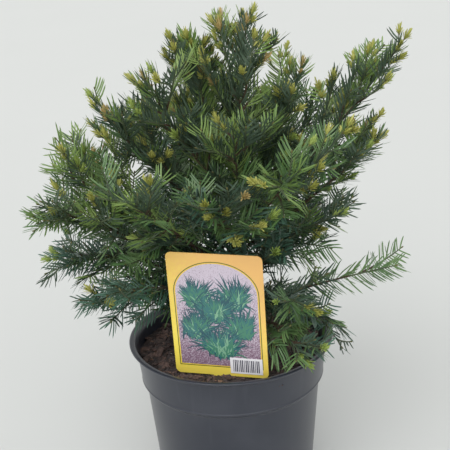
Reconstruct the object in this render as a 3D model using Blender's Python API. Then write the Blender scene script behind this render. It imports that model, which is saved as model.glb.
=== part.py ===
"""A young English yew in its plastic nursery pot.

The pot, its compost, the stem, every bough, every mass of shoots and the plant
label are separate solids. Lengths are metres and +Z is up. The origin is the
centre of the pot's flat underside, and the label stands on the -Y side.
"""
import math
import random
from dataclasses import dataclass

import bmesh
import bpy
import numpy as np
from mathutils import Matrix, Vector

UP = Vector((0, 0, 1))
GAP = 0.0003
WELD = 0.000003
SAMPLE_STEP = 0.004

# Pot: a tapered body, a wider collar above a ledge, and a thin lip turned outward
POT_SIDES = 48
POT_HEIGHT = 0.156
POT_WALL = 0.0016
FLOOR_THICKNESS = 0.003
BASE_RADIUS = 0.0745
FOOT_BEVEL = 0.002
BODY_RADIUS = 0.0842
BODY_TOP = 0.1125
LEDGE_RADIUS = 0.0880
LEDGE_TOP = 0.1180
COLLAR_RADIUS = 0.0915
COLLAR_TOP = 0.1500
LIP_RADIUS = 0.0980
LIP_EDGE = 0.0012
LIP_SLOPE_END = 2.2
LIP_EDGE_LOW = 1.4
LIP_EDGE_HIGH = 0.5
DRAIN_COUNT = 6
DRAIN_RADIUS = 0.0045
DRAIN_CIRCLE = 0.058
DRAIN_SIDES = 10

# Compost: fills the pot to below the lip, level round the stem's foot
COMPOST_TOP = 0.140
COMPOST_RINGS = (0.80, 0.50, 0.22)
COMPOST_BUMP = 0.0022
COMPOST_SEED = 5

# Plant label: a thin card on a pointed stake that stands in a slot in the compost
LABEL_WIDTH = 0.087
LABEL_HEIGHT = 0.1245
LABEL_THICKNESS = 0.0008
LABEL_CORNER = 0.005
LABEL_FOOT = (-0.0096, -0.0620, 0.1455)
LABEL_TURN = math.radians(-14.8)
LABEL_LEAN = math.radians(4.0)
STAKE_WIDTH = 0.016
STAKE_LENGTH = 0.040
STAKE_POINT = 0.010

# Stem: a true taper from its root flare to its tip, with a slight lean and bend
STEM_SIDES = 10
STEM_RINGS = 15
STEM_CROWDING = 1.25
STEM_FOOT = Vector((0.002, 0.004, COMPOST_TOP + GAP))
STEM_TIP = Vector((0.020, 0.006, 0.345))
STEM_RADIUS = 0.0066
STEM_TIP_RADIUS = 0.0019
FLARE_RADIUS = 0.0044
FLARE_HEIGHT = 0.010
STEM_BEND = 0.005
STEM_BEND_LOSS = 0.3
STEM_BEND_DEPTH = 0.6

# Boughs: the wood of each limb, from the stem to its leading shoot
BOUGH_SIDES = 6
BOUGH_RINGS = 6
BOUGH_TIP_RADIUS = 0.0014
BOUGH_TAPER = 0.011
CURVE_STEPS = 12

# Shoots: three-sided twigs with needles that spiral round them
NEEDLE_PITCH = 0.0080
NEEDLE_LENGTH = 0.026
NEEDLE_LEAST = 0.62
NEEDLE_ROOT = 0.3
BUD_LENGTH = 0.006
NEEDLE_SWEEP = math.radians(28)
NEEDLE_TWIST = math.radians(47)
TWIG_RADIUS = 0.0014
TWIG_TIP_RADIUS = 0.0008
NEEDLE_RISE = 0.25
LEAD_FLATNESS = 0.6
SIDE_FLATNESS = 0.5
UPRIGHT = 0.8
BARE_PITCHES = 2
NEEDLE_OVERHANG = 0.011
SHORTEST_SHOOT = 4
SIDE_SHOOT_ANGLE = math.radians(50)
SIDE_SHOOT_SHARE = 0.72
SIDE_SHOOT_LOSS = 0.3
FIRST_FORK = 0.14
LAST_FORK = 0.70
FORK_PLACE = 0.4
TURN_PLAY = 0.3
ROLL_PLAY = 0.5
SHOOT_UPTURN = 0.35
LIMB_CLEARANCE = 0.0025
LABEL_CLEARANCE = 0.005
MASS_CLEARANCE = 0.0008
SHOOT_SEED = 43
NEEDLE_SEED = 400


@dataclass(frozen=True)
class Limb:
    """One limb of the crown: a bough and the mass of shoots that it carries.

    leaves_at is the height at which it leaves the stem, tip is the end of its
    leading shoot, and arch is how far its middle stands above a straight line,
    as a share of its length. shoot is the length of the leading shoot and
    sides is the number of shoots that leave it.
    """

    name: str
    leaves_at: float
    tip: tuple
    arch: float
    shoot: float = 0.115
    sides: int = 3


LIMBS = (
    Limb("left_upper_back", 0.300, (-0.039, 0.022, 0.447), -0.10, 0.115, 4),
    Limb("left_upper", 0.282, (-0.066, -0.030, 0.427), -0.08, 0.115, 4),
    Limb("left_high", 0.258, (-0.114, -0.010, 0.398), -0.06, 0.125, 4),
    Limb("left_middle", 0.228, (-0.157, -0.020, 0.348), -0.04, 0.125, 4),
    Limb("left_wide", 0.206, (-0.170, -0.050, 0.320), 0.02, 0.125, 4),
    Limb("left_low", 0.188, (-0.171, -0.016, 0.248), 0.12, 0.120, 4),
    Limb("left_skirt", 0.168, (-0.144, -0.036, 0.206), 0.15, 0.115, 4),
    Limb("right_upper", 0.292, (0.081, 0.030, 0.420), -0.08, 0.115, 4),
    Limb("right_long", 0.266, (0.166, 0.010, 0.430), -0.04, 0.125, 4),
    Limb("right_high", 0.236, (0.150, -0.012, 0.355), -0.02, 0.120, 4),
    Limb("right_middle", 0.212, (0.108, -0.054, 0.296), 0.05, 0.115, 4),
    Limb("right_low", 0.176, (0.164, -0.032, 0.234), 0.02, 0.120, 2),
    Limb("right_skirt", 0.164, (0.113, -0.045, 0.163), 0.26, 0.115, 4),
    Limb("front_upper", 0.272, (0.010, -0.070, 0.392), -0.06, 0.115, 4),
    Limb("front_right", 0.244, (0.066, -0.112, 0.360), 0.02),
    Limb("front_middle", 0.224, (-0.016, -0.132, 0.338), 0.04, 0.115, 4),
    Limb("front_left", 0.212, (-0.082, -0.118, 0.342), 0.02),
    Limb("front_left_low", 0.178, (-0.112, -0.086, 0.240), 0.10, 0.110, 4),
    Limb("front_right_low", 0.172, (0.078, -0.098, 0.218), 0.14, 0.105),
    Limb("front_right_skirt", 0.158, (0.070, -0.098, 0.164), 0.22, 0.095, 4),
    Limb("front_low", 0.192, (0.044, -0.092, 0.278), 0.04, 0.100),
    Limb("back_upper", 0.276, (0.004, 0.084, 0.402), -0.04),
    Limb("back_right", 0.250, (0.104, 0.112, 0.362), 0.0, 0.120),
    Limb("back_left", 0.240, (-0.098, 0.110, 0.356), 0.0, 0.120),
    Limb("back_middle", 0.218, (-0.004, 0.156, 0.318), 0.06, 0.120),
    Limb("back_right_low", 0.196, (0.122, 0.108, 0.242), 0.12, 0.120),
    Limb("back_left_low", 0.192, (-0.112, 0.106, 0.240), 0.12, 0.120),
)
TOP = Limb("top", STEM_TIP.z, (0.025, 0.008, 0.467), 0.0, 0.120, 4)


def clear_scene() -> None:
    """Remove every object of the scene."""
    for thing in list(bpy.data.objects):
        bpy.data.objects.remove(thing, do_unlink=True)


def material(name: str, colour: tuple, roughness: float) -> bpy.types.Material:
    """Return a plain finish of one colour."""
    finish = bpy.data.materials.new(name)
    finish.use_nodes = True
    shader = finish.node_tree.nodes["Principled BSDF"]
    shader.inputs["Base Color"].default_value = (*colour, 1.0)
    shader.inputs["Roughness"].default_value = roughness
    shader.inputs["Metallic"].default_value = 0.0
    return finish


def solid(name: str, shape: bmesh.types.BMesh, finish: bpy.types.Material, round_piece: bool = False):
    """Turn a closed shape into an object of the scene."""
    mesh = bpy.data.meshes.new(name)
    bmesh.ops.recalc_face_normals(shape, faces=shape.faces)
    shape.to_mesh(mesh)
    shape.free()
    mesh.materials.append(finish)
    if round_piece:
        mesh.shade_smooth()
        mesh.set_sharp_from_angle(angle=math.radians(35))
    thing = bpy.data.objects.new(name, mesh)
    bpy.context.scene.collection.objects.link(thing)
    return thing


def apply_modifiers(thing: bpy.types.Object) -> None:
    """Give an object the mesh that its modifiers make, and drop the modifiers."""
    bpy.context.view_layer.update()
    evaluated = thing.evaluated_get(bpy.context.evaluated_depsgraph_get())
    mesh = bpy.data.meshes.new_from_object(evaluated)
    thing.modifiers.clear()
    thing.data = mesh


def cut(thing: bpy.types.Object, cutter: bpy.types.Object) -> None:
    """Take the cutter's shape out of an object."""
    change = thing.modifiers.new("cut", "BOOLEAN")
    change.operation = "DIFFERENCE"
    change.object = cutter
    apply_modifiers(thing)


def turned(profile: list, sides: int) -> bmesh.types.BMesh:
    """Turn a profile of (radius, height) points that starts and ends on the axis."""
    shape = bmesh.new()
    bottom = shape.verts.new((0, 0, profile[0][1]))
    top = shape.verts.new((0, 0, profile[-1][1]))
    turns = [math.tau * side / sides for side in range(sides)]
    rings = []
    for radius, height in profile[1:-1]:
        rings.append([shape.verts.new((radius * math.cos(a), radius * math.sin(a), height)) for a in turns])
    for side in range(sides):
        after = (side + 1) % sides
        shape.faces.new((bottom, rings[0][after], rings[0][side]))
        shape.faces.new((top, rings[-1][side], rings[-1][after]))
        for low, high in zip(rings, rings[1:]):
            shape.faces.new((low[side], low[after], high[after], high[side]))
    return shape


def tube(points: list, radii: list, sides: int) -> bmesh.types.BMesh:
    """Make a round bar through the points, with flat ends."""
    shape = bmesh.new()
    rings = []
    across = (points[1] - points[0]).orthogonal().normalized()
    for index, (point, radius) in enumerate(zip(points, radii)):
        along = points[min(index + 1, len(points) - 1)] - points[max(index - 1, 0)]
        along.normalize()
        across = (across - along * across.dot(along)).normalized()
        beside = along.cross(across)
        ring = []
        for side in range(sides):
            angle = math.tau * side / sides
            ring.append(shape.verts.new(point + radius * (math.cos(angle) * across + math.sin(angle) * beside)))
        rings.append(ring)
    for low, high in zip(rings, rings[1:]):
        for side in range(sides):
            after = (side + 1) % sides
            shape.faces.new((low[side], low[after], high[after], high[side]))
    shape.faces.new(list(reversed(rings[0])))
    shape.faces.new(rings[-1])
    return shape


def slab(outline: list, thickness: float) -> bmesh.types.BMesh:
    """Give thickness along Y to an outline of (x, z) points."""
    shape = bmesh.new()
    front = [shape.verts.new((x, -thickness / 2, z)) for x, z in outline]
    back = [shape.verts.new((x, thickness / 2, z)) for x, z in outline]
    shape.faces.new(front)
    shape.faces.new(list(reversed(back)))
    for index in range(len(outline)):
        after = (index + 1) % len(outline)
        shape.faces.new((front[index], back[index], back[after], front[after]))
    return shape


def inner_wall() -> list:
    """Return the (radius, height) points of the pot's inside, from its floor up."""
    return [
        (BASE_RADIUS - POT_WALL, FLOOR_THICKNESS),
        (BODY_RADIUS - POT_WALL, BODY_TOP),
        (LEDGE_RADIUS - POT_WALL, LEDGE_TOP),
        (COLLAR_RADIUS - POT_WALL, COLLAR_TOP),
    ]


def make_pot() -> None:
    """Turn the pot and cut the drain holes in its floor."""
    outside = [
        (0, 0),
        (BASE_RADIUS - FOOT_BEVEL, 0),
        (BASE_RADIUS, FOOT_BEVEL),
        (BODY_RADIUS, BODY_TOP),
        (LEDGE_RADIUS, LEDGE_TOP),
        (COLLAR_RADIUS, COLLAR_TOP),
        (LIP_RADIUS - LIP_EDGE, POT_HEIGHT - LIP_SLOPE_END * LIP_EDGE),
        (LIP_RADIUS, POT_HEIGHT - LIP_EDGE_LOW * LIP_EDGE),
        (LIP_RADIUS, POT_HEIGHT - LIP_EDGE_HIGH * LIP_EDGE),
        (LIP_RADIUS - LIP_EDGE, POT_HEIGHT),
    ]
    inside = list(reversed(inner_wall())) + [(0, FLOOR_THICKNESS)]
    pot = solid("pot", turned(outside + inside, POT_SIDES), material("pot plastic", (0.06, 0.064, 0.075), 0.45), True)
    holes = bmesh.new()
    for hole in range(DRAIN_COUNT):
        angle = math.tau * hole / DRAIN_COUNT
        place = Matrix.Translation((DRAIN_CIRCLE * math.cos(angle), DRAIN_CIRCLE * math.sin(angle), 0))
        bmesh.ops.create_cone(
            holes, cap_ends=True, segments=DRAIN_SIDES, radius1=DRAIN_RADIUS, radius2=DRAIN_RADIUS,
            depth=4 * FLOOR_THICKNESS, matrix=place)
    drains = solid("drain cutter", holes, material("cutter", (1, 1, 1), 0.5))
    cut(pot, drains)
    bpy.data.objects.remove(drains)


def label_place() -> Matrix:
    """Return the place of the label: its foot is the middle of the card's lower edge."""
    turn = Matrix.Rotation(LABEL_TURN, 4, "Z")
    lean = Matrix.Rotation(LABEL_LEAN, 4, "X")
    return Matrix.Translation(LABEL_FOOT) @ turn @ lean


def stake_outline(spare: float) -> list:
    """Return the stake's outline below the card, made larger by spare on each side."""
    half = STAKE_WIDTH / 2 + spare
    bottom = -STAKE_LENGTH - 2 * spare
    return [(-half, STAKE_POINT - STAKE_LENGTH), (-spare, bottom), (spare, bottom), (half, STAKE_POINT - STAKE_LENGTH)]


def make_compost() -> None:
    """Fill the pot with compost: a lumpy top, and a slot for the label's stake."""
    shrink = 1.25 * GAP
    wall = [(radius - shrink, height) for radius, height in inner_wall()]
    wall[0] = (wall[0][0], wall[0][1] + GAP)
    (low_radius, low), (high_radius, high) = wall[-2:]
    share = (COMPOST_TOP - low) / (high - low)
    wall[-1] = (low_radius + share * (high_radius - low_radius), COMPOST_TOP)
    rings = [(share * wall[-1][0], COMPOST_TOP) for share in COMPOST_RINGS]
    shape = turned([(0, wall[0][1])] + wall + rings + [(0, COMPOST_TOP)], POT_SIDES)
    chance = random.Random(COMPOST_SEED)
    level = COMPOST_RINGS[-1] * wall[-1][0] + GAP
    shape.verts.ensure_lookup_table()
    for vert in shape.verts:
        if vert.co.z == COMPOST_TOP or abs(vert.co.z - COMPOST_TOP) < GAP:
            lump = COMPOST_BUMP * chance.uniform(-1, 1)
            if vert.co.xy.length > level:
                vert.co.z += lump
    compost = solid("compost", shape, material("compost", (0.045, 0.028, 0.022), 0.95), True)
    sides = [(STAKE_WIDTH / 2 + GAP, LABEL_HEIGHT / 4), (-STAKE_WIDTH / 2 - GAP, LABEL_HEIGHT / 4)]
    slot = solid("slot cutter", slab(stake_outline(GAP) + sides, LABEL_THICKNESS + 2 * GAP), compost.active_material)
    slot.matrix_world = label_place()
    cut(compost, slot)
    bpy.data.objects.remove(slot)


def make_label() -> None:
    """Cut the label from thin card: rounded corners, and a pointed stake below."""
    outline = stake_outline(0.0)
    outline += [(STAKE_WIDTH / 2, 0)]
    corners = ((1, 0, -90), (1, 1, 0), (-1, 1, 90), (-1, 0, 180))
    for side, high, first in corners:
        centre_x = side * (LABEL_WIDTH / 2 - LABEL_CORNER)
        centre_z = LABEL_HEIGHT - LABEL_CORNER if high else LABEL_CORNER
        for step in range(4):
            angle = math.radians(first + 30 * step)
            outline.append((centre_x + LABEL_CORNER * math.cos(angle), centre_z + LABEL_CORNER * math.sin(angle)))
    outline += [(-STAKE_WIDTH / 2, 0)]
    label = solid("label", slab(outline, LABEL_THICKNESS), material("label card", (0.85, 0.62, 0.12), 0.4))
    label.matrix_world = label_place()


def stem_point(share: float) -> Vector:
    """Return the stem's middle at a share of its length."""
    straight = STEM_FOOT.lerp(STEM_TIP, share)
    bend = STEM_BEND * math.sin(math.tau * share) * (1 - STEM_BEND_LOSS * share)
    return straight + Vector((-bend, STEM_BEND_DEPTH * bend, 0))


def stem_radius(share: float) -> float:
    """Return the stem's radius at a share of its length."""
    flare = FLARE_RADIUS * math.exp(-share * (STEM_TIP.z - STEM_FOOT.z) / FLARE_HEIGHT)
    return STEM_RADIUS + (STEM_TIP_RADIUS - STEM_RADIUS) * share + flare


def stem_bar(spare: float) -> bmesh.types.BMesh:
    """Make the stem's shape, with spare added to its radius."""
    shares = [(ring / (STEM_RINGS - 1)) ** STEM_CROWDING for ring in range(STEM_RINGS)]
    shape = tube([stem_point(s) for s in shares], [stem_radius(s) + spare for s in shares], STEM_SIDES)
    for vert in shape.verts:
        if vert.co.z < STEM_FOOT.z + FLARE_HEIGHT / 8:
            vert.co.z = STEM_FOOT.z
    return shape


def limb_curve(limb: Limb, share: float) -> Vector:
    """Return a point on the limb's middle line, from the stem at 0 to its tip at 1."""
    start = stem_point((limb.leaves_at - STEM_FOOT.z) / (STEM_TIP.z - STEM_FOOT.z))
    tip = Vector(limb.tip)
    middle = start.lerp(tip, 0.5) + UP * limb.arch * (tip - start).length * 2
    return (1 - share) ** 2 * start + 2 * share * (1 - share) * middle + share ** 2 * tip


def limb_length(limb: Limb) -> float:
    """Return the length of the limb's middle line."""
    points = [limb_curve(limb, step / CURVE_STEPS) for step in range(CURVE_STEPS + 1)]
    return sum((b - a).length for a, b in zip(points, points[1:]))


def bough_share(limb: Limb) -> float:
    """Return the share of the limb that is bough, before its leading shoot starts."""
    return 1 - limb.shoot / limb_length(limb)


def bough_line(limb: Limb) -> tuple:
    """Return the points and radii of a bough, from the middle of the stem out."""
    end = bough_share(limb)
    points = [limb_curve(limb, end * ring / (BOUGH_RINGS - 1)) for ring in range(BOUGH_RINGS)]
    root = BOUGH_TIP_RADIUS + BOUGH_TAPER * end * limb_length(limb)
    radii = [root + (BOUGH_TIP_RADIUS - root) * ring / (BOUGH_RINGS - 1) for ring in range(BOUGH_RINGS)]
    return points, radii


def make_stem_and_boughs() -> None:
    """Make the stem, and every bough cut to meet it."""
    bark = material("bark", (0.10, 0.055, 0.035), 0.85)
    solid("stem", stem_bar(0.0), bark, True)
    sleeve = solid("sleeve cutter", stem_bar(1.3 * GAP), bark)
    for limb in LIMBS:
        points, radii = bough_line(limb)
        bough = solid("bough_" + limb.name, tube(points, radii, BOUGH_SIDES), bark, True)
        cut(bough, sleeve)
    bpy.data.objects.remove(sleeve)


class Room:
    """The space that the shoots may fill.

    A point belongs to the mass whose leading shoot passes nearest, and no mass
    reaches further from its limb's foot than the limb's tip does. Nothing grows
    into a bough, the stem, the pot or the label.
    """

    def __init__(self) -> None:
        self.label = np.array(label_place().inverted())
        self.leads = np.array([[tuple(limb_curve(limb, s)) for s in self.lead_shares(limb)] for limb in (*LIMBS, TOP)])
        middles = []
        radii = []
        for share in np.linspace(0, 1, 60):
            middles.append(tuple(stem_point(share)))
            radii.append(stem_radius(share))
        for limb in LIMBS:
            thick = bough_line(limb)[1]
            for share in np.linspace(0, 1, 40):
                middles.append(tuple(limb_curve(limb, share * bough_share(limb))))
                radii.append(thick[0] + share * (thick[-1] - thick[0]))
        self.feet = np.array([tuple(limb_curve(limb, 0)) for limb in (*LIMBS, TOP)])
        self.reach = np.linalg.norm(np.array([limb.tip for limb in (*LIMBS, TOP)]) - self.feet, axis=1)
        self.middles = np.array(middles)
        self.radii = np.array(radii)

    @staticmethod
    def lead_shares(limb: Limb) -> np.ndarray:
        """Return the shares of a limb at which its leading shoot is sampled."""
        return np.linspace(bough_share(limb), 1, 16)

    def owned(self, owner: int, points: np.ndarray) -> bool:
        """Say whether every point is nearest to the owner's leading shoot and within its reach."""
        if (np.linalg.norm(points - self.feet[owner], axis=1) > self.reach[owner]).any():
            return False
        reach = np.linalg.norm(points[:, None, None, :] - self.leads[None], axis=3).min(axis=2)
        own = reach[:, owner].copy()
        reach[:, owner] = np.inf
        return bool((own + MASS_CLEARANCE < reach.min(axis=1)).all())

    def off_wood(self, points: np.ndarray) -> bool:
        """Say whether every point is clear of the stem and the boughs."""
        reach = np.linalg.norm(points[:, None, :] - self.middles[None], axis=2)
        return not (reach < self.radii + LIMB_CLEARANCE).any()

    def off_pot(self, points: np.ndarray) -> bool:
        """Say whether every point is clear of the pot and the label."""
        across = np.linalg.norm(points[:, :2], axis=1)
        if ((across < LIP_RADIUS + LIMB_CLEARANCE) & (points[:, 2] < POT_HEIGHT + LIMB_CLEARANCE)).any():
            return False
        card = points @ self.label[:3, :3].T + self.label[:3, 3]
        near = np.abs(card[:, 1]) < LABEL_CLEARANCE
        beside = np.abs(card[:, 0]) < LABEL_WIDTH / 2 + LABEL_CLEARANCE
        below = card[:, 2] < LABEL_HEIGHT + LABEL_CLEARANCE
        return not (near & beside & below).any()


def spaced(start: Vector, end: Vector) -> np.ndarray:
    """Return points from start to end, a sample step or less apart."""
    count = 2 + int((end - start).length / SAMPLE_STEP)
    return np.array([tuple(start.lerp(end, step / (count - 1))) for step in range(count)])


def side_line(room: Room, owner: int, start: Vector, heading: Vector, length: float) -> list:
    """Grow a side shoot's line, one pitch at a time, for as long as it and its bud have room."""
    line = [start]
    for step in range(round(length / NEEDLE_PITCH)):
        heading = (heading + UP * SHOOT_UPTURN * NEEDLE_PITCH / length).normalized()
        after = line[-1] + heading * NEEDLE_PITCH
        points = spaced(line[-1], after)
        if not (room.owned(owner, points) and room.off_pot(spaced(line[-1], after + heading * BUD_LENGTH))):
            break
        if step > 0 and not room.off_wood(points):
            break
        line.append(after)
    return line


def needle_length(share: float) -> float:
    """Return the needles' length at a share of their shoot: shorter at both ends."""
    swell = math.sin(math.pi * (0.15 + 0.8 * share))
    return NEEDLE_LENGTH * (NEEDLE_LEAST + (1 - NEEDLE_LEAST) * swell)


def frame_of(heading: Vector, hint: Vector) -> tuple:
    """Return two directions square to a heading; the first lies as near to the hint as it can."""
    beside = (hint - heading * hint.dot(heading)).normalized()
    return beside, beside.cross(heading)


def level_side(heading: Vector) -> Vector:
    """Return the level direction beside a heading, or +X where the heading is nearly upright."""
    beside = heading.cross(UP)
    return beside.normalized() if beside.length > 0.2 else Vector((1, 0, 0))


def shoot(room: Room, owner: int, line: list, flatness: float, chance: random.Random) -> bmesh.types.BMesh:
    """Make one shoot as a closed shape: a three-sided twig whose sides carry needles.

    flatness is 0 where needles stand out all round the twig, and near 1 where
    they spread to its two sides.
    """
    shape = bmesh.new()
    hint = level_side((line[-1] - line[0]).normalized())
    last = len(line) - 1
    rings = []
    for index, point in enumerate(line):
        heading = (line[min(index + 1, last)] - line[max(index - 1, 0)]).normalized()
        beside, above = frame_of(heading, hint)
        radius = TWIG_RADIUS + (TWIG_TIP_RADIUS - TWIG_RADIUS) * index / last
        ring = []
        for corner in range(3):
            angle = math.tau * corner / 3 + NEEDLE_TWIST * index
            ring.append(shape.verts.new(point + radius * (math.cos(angle) * beside + math.sin(angle) * above)))
        rings.append(ring)
    for index in range(last):
        share = (index + 0.5) / last
        middle = line[index].lerp(line[index + 1], 0.5)
        along = (line[index + 1] - line[index]).normalized()
        beside, above = frame_of(along, hint)
        for corner in range(3):
            after = (corner + 1) % 3
            base = (rings[index][corner], rings[index][after], rings[index + 1][after], rings[index + 1][corner])
            angle = math.tau * (corner + 0.5) / 3 + NEEDLE_TWIST * (index + 0.5)
            outward = math.cos(angle) * beside + (1 - flatness) * math.sin(angle) * above
            outward = (outward + NEEDLE_RISE * flatness * above).normalized()
            sweep = NEEDLE_SWEEP * chance.uniform(0.85, 1.15)
            reach = needle_length(share) * chance.uniform(0.9, 1.05)
            tip = middle + reach * (math.cos(sweep) * outward + math.sin(sweep) * along)
            outer = spaced(middle.lerp(tip, NEEDLE_ROOT), tip)
            fits = room.owned(owner, outer) and room.off_wood(outer) and room.off_pot(spaced(middle, tip))
            if index < BARE_PITCHES or not fits:
                shape.faces.new((base[0], base[1], base[3]))
                shape.faces.new((base[1], base[2], base[3]))
                continue
            point = shape.verts.new(tip)
            for first, second in zip(base, base[1:] + base[:1]):
                shape.faces.new((first, second, point))
    shape.faces.new(list(reversed(rings[0])))
    bud = shape.verts.new(line[-1] + (line[-1] - line[-2]).normalized() * BUD_LENGTH)
    for corner in range(3):
        shape.faces.new((rings[-1][corner], rings[-1][(corner + 1) % 3], bud))
    return shape


def keep_main_shell(thing: bpy.types.Object) -> None:
    """Keep only the largest closed shell, which drops scraps and fills sealed hollows."""
    shape = bmesh.new()
    shape.from_mesh(thing.data)
    bmesh.ops.remove_doubles(shape, verts=shape.verts, dist=WELD)
    bmesh.ops.triangulate(shape, faces=shape.faces)
    left = set(shape.faces)
    shells = []
    while left:
        queue = [left.pop()]
        shell = list(queue)
        while queue:
            face = queue.pop()
            for edge in face.edges:
                for other in edge.link_faces:
                    if other in left:
                        left.remove(other)
                        queue.append(other)
                        shell.append(other)
        shells.append(shell)
    shells.sort(key=lambda shell: sum(face.calc_area() for face in shell))
    for shell in shells[:-1]:
        bmesh.ops.delete(shape, geom=shell, context="FACES")
    shape.to_mesh(thing.data)
    shape.free()


def side_plan(owner: int, limb: Limb) -> list:
    """Plan the side shoots of one mass, which leave its leading shoot by turns.

    Each entry is the share of the leading shoot at which one leaves, how far it
    is rolled round that shoot, and its length.
    """
    chance = random.Random(SHOOT_SEED + owner)
    turn = chance.uniform(-TURN_PLAY, TURN_PLAY)
    plan = []
    for side in range(limb.sides):
        share = FIRST_FORK + (LAST_FORK - FIRST_FORK) * side / (limb.sides - 1)
        roll = turn + math.pi * side + chance.uniform(-ROLL_PLAY, ROLL_PLAY)
        length = limb.shoot * (SIDE_SHOOT_SHARE - SIDE_SHOOT_LOSS * share) * chance.uniform(0.9, 1.15)
        plan.append((share, roll, length))
    return plan


def make_mass(room: Room, owner: int, limb: Limb, finish: bpy.types.Material) -> None:
    """Grow one mass: its leading shoot, and the side shoots that leave it."""
    chance = random.Random(NEEDLE_SEED + owner)
    begin = bough_share(limb)
    end = 1 - NEEDLE_OVERHANG / limb_length(limb)
    count = round((limb.shoot - NEEDLE_OVERHANG) / NEEDLE_PITCH)
    lead = [limb_curve(limb, begin + (end - begin) * step / count) for step in range(count + 1)]
    heading = (lead[-1] - lead[0]).normalized()
    lead[0] = lead[0] + (lead[1] - lead[0]).normalized() * GAP
    beside, above = frame_of(heading, level_side(heading))
    flatness = LEAD_FLATNESS * (1 - min(1.0, abs(heading.z) / UPRIGHT))
    mass = solid("mass_" + limb.name, shoot(room, owner, lead, flatness, chance), finish)
    group = bpy.data.collections.new("side shoots")
    bpy.context.scene.collection.children.link(group)
    for share, roll, length in side_plan(owner, limb):
        station = int(share * count)
        place = lead[station].lerp(lead[station + 1], FORK_PLACE)
        outward = math.cos(roll) * beside + math.sin(roll) * above
        way = math.cos(SIDE_SHOOT_ANGLE) * heading + math.sin(SIDE_SHOOT_ANGLE) * outward
        line = side_line(room, owner, place, way, length)
        if len(line) <= SHORTEST_SHOOT:
            continue
        twig = solid("side shoot", shoot(room, owner, line, SIDE_FLATNESS, chance), finish)
        bpy.context.scene.collection.objects.unlink(twig)
        group.objects.link(twig)
    join = mass.modifiers.new("join", "BOOLEAN")
    join.operation = "UNION"
    join.solver = "MANIFOLD"
    join.operand_type = "COLLECTION"
    join.collection = group
    apply_modifiers(mass)
    for twig in list(group.objects):
        bpy.data.objects.remove(twig)
    bpy.data.collections.remove(group)
    keep_main_shell(mass)


def main() -> None:
    """Build the whole plant."""
    clear_scene()
    make_pot()
    make_compost()
    make_label()
    make_stem_and_boughs()
    room = Room()
    foliage = material("needles", (0.035, 0.09, 0.03), 0.6)
    for owner, limb in enumerate((*LIMBS, TOP)):
        make_mass(room, owner, limb, foliage)


main()
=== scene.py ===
"""A young English yew in its plastic nursery pot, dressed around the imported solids.

The crown is grown here by the same seeded rule as the solids, and carried on to
finer twigs, needles, buds and tufts of new growth. Lengths are metres and +Z is
up. The pot stands on the origin, and its label is on the -Y side.
"""

import logging
import math
import random
from collections.abc import Mapping, Sequence
from dataclasses import dataclass, field
from enum import Enum
from typing import Any

import bmesh
import bpy
import numpy as np
from mathutils import Matrix, Vector, noise


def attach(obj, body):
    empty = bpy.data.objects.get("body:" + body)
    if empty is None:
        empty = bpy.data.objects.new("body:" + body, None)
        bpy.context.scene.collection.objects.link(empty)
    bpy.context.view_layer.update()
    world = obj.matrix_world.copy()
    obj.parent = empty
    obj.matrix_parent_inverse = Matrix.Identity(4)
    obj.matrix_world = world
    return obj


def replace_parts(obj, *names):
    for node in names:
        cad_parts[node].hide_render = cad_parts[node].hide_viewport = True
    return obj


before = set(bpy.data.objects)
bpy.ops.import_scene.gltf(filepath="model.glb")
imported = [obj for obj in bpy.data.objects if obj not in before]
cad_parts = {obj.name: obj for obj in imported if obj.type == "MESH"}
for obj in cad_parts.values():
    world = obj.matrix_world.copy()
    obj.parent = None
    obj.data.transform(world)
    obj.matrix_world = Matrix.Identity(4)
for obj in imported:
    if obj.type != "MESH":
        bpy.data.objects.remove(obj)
bpy.context.view_layer.update()

LOG = logging.getLogger("yew")
BODY = "root"
UP = np.array((0.0, 0.0, 1.0))
GOLDEN_TURN = math.pi * (3 - math.sqrt(5))
MOST_TRIANGLES = 190_000

Colour = tuple[float, float, float]


def display(red: float, green: float, blue: float) -> Colour:
    """Return the linear colour of three display values from 0 to 255."""
    return tuple(((value / 255 + 0.055) / 1.055) ** 2.4 for value in (red, green, blue))


def unit(vectors: np.ndarray) -> np.ndarray:
    """Return vectors scaled to a length of one."""
    return vectors / np.linalg.norm(vectors, axis=-1, keepdims=True)


class Signal:
    """A number that a shader works out at each point, wrapped for plain expressions."""

    def __init__(self, graph: "Graph", socket: bpy.types.NodeSocket) -> None:
        """Wrap one output socket of a graph."""
        self.graph = graph
        self.socket = socket

    def maths(self, operation: str, *terms: "Signal | float") -> "Signal":
        """Add a Math node with the given operation and terms, and return its result."""
        return self.graph.signal("ShaderNodeMath", {"operation": operation}, dict(enumerate(terms)))

    def __add__(self, other: "Signal | float") -> "Signal":
        """Return the sum."""
        return self.maths("ADD", self, other)

    def __radd__(self, other: float) -> "Signal":
        """Return the sum, with the number first."""
        return self.maths("ADD", other, self)

    def __sub__(self, other: "Signal | float") -> "Signal":
        """Return the difference."""
        return self.maths("SUBTRACT", self, other)

    def __rsub__(self, other: float) -> "Signal":
        """Return the difference, with the number first."""
        return self.maths("SUBTRACT", other, self)

    def __mul__(self, other: "Signal | float") -> "Signal":
        """Return the product."""
        return self.maths("MULTIPLY", self, other)

    def __rmul__(self, other: float) -> "Signal":
        """Return the product, with the number first."""
        return self.maths("MULTIPLY", other, self)

    def rise(self, low: float, high: float) -> "Signal":
        """Return a smooth step from 0 at low to 1 at high."""
        limits = {"Value": self, "From Min": low, "From Max": high}
        return self.graph.signal("ShaderNodeMapRange", {"interpolation_type": "SMOOTHSTEP"}, limits)


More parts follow.
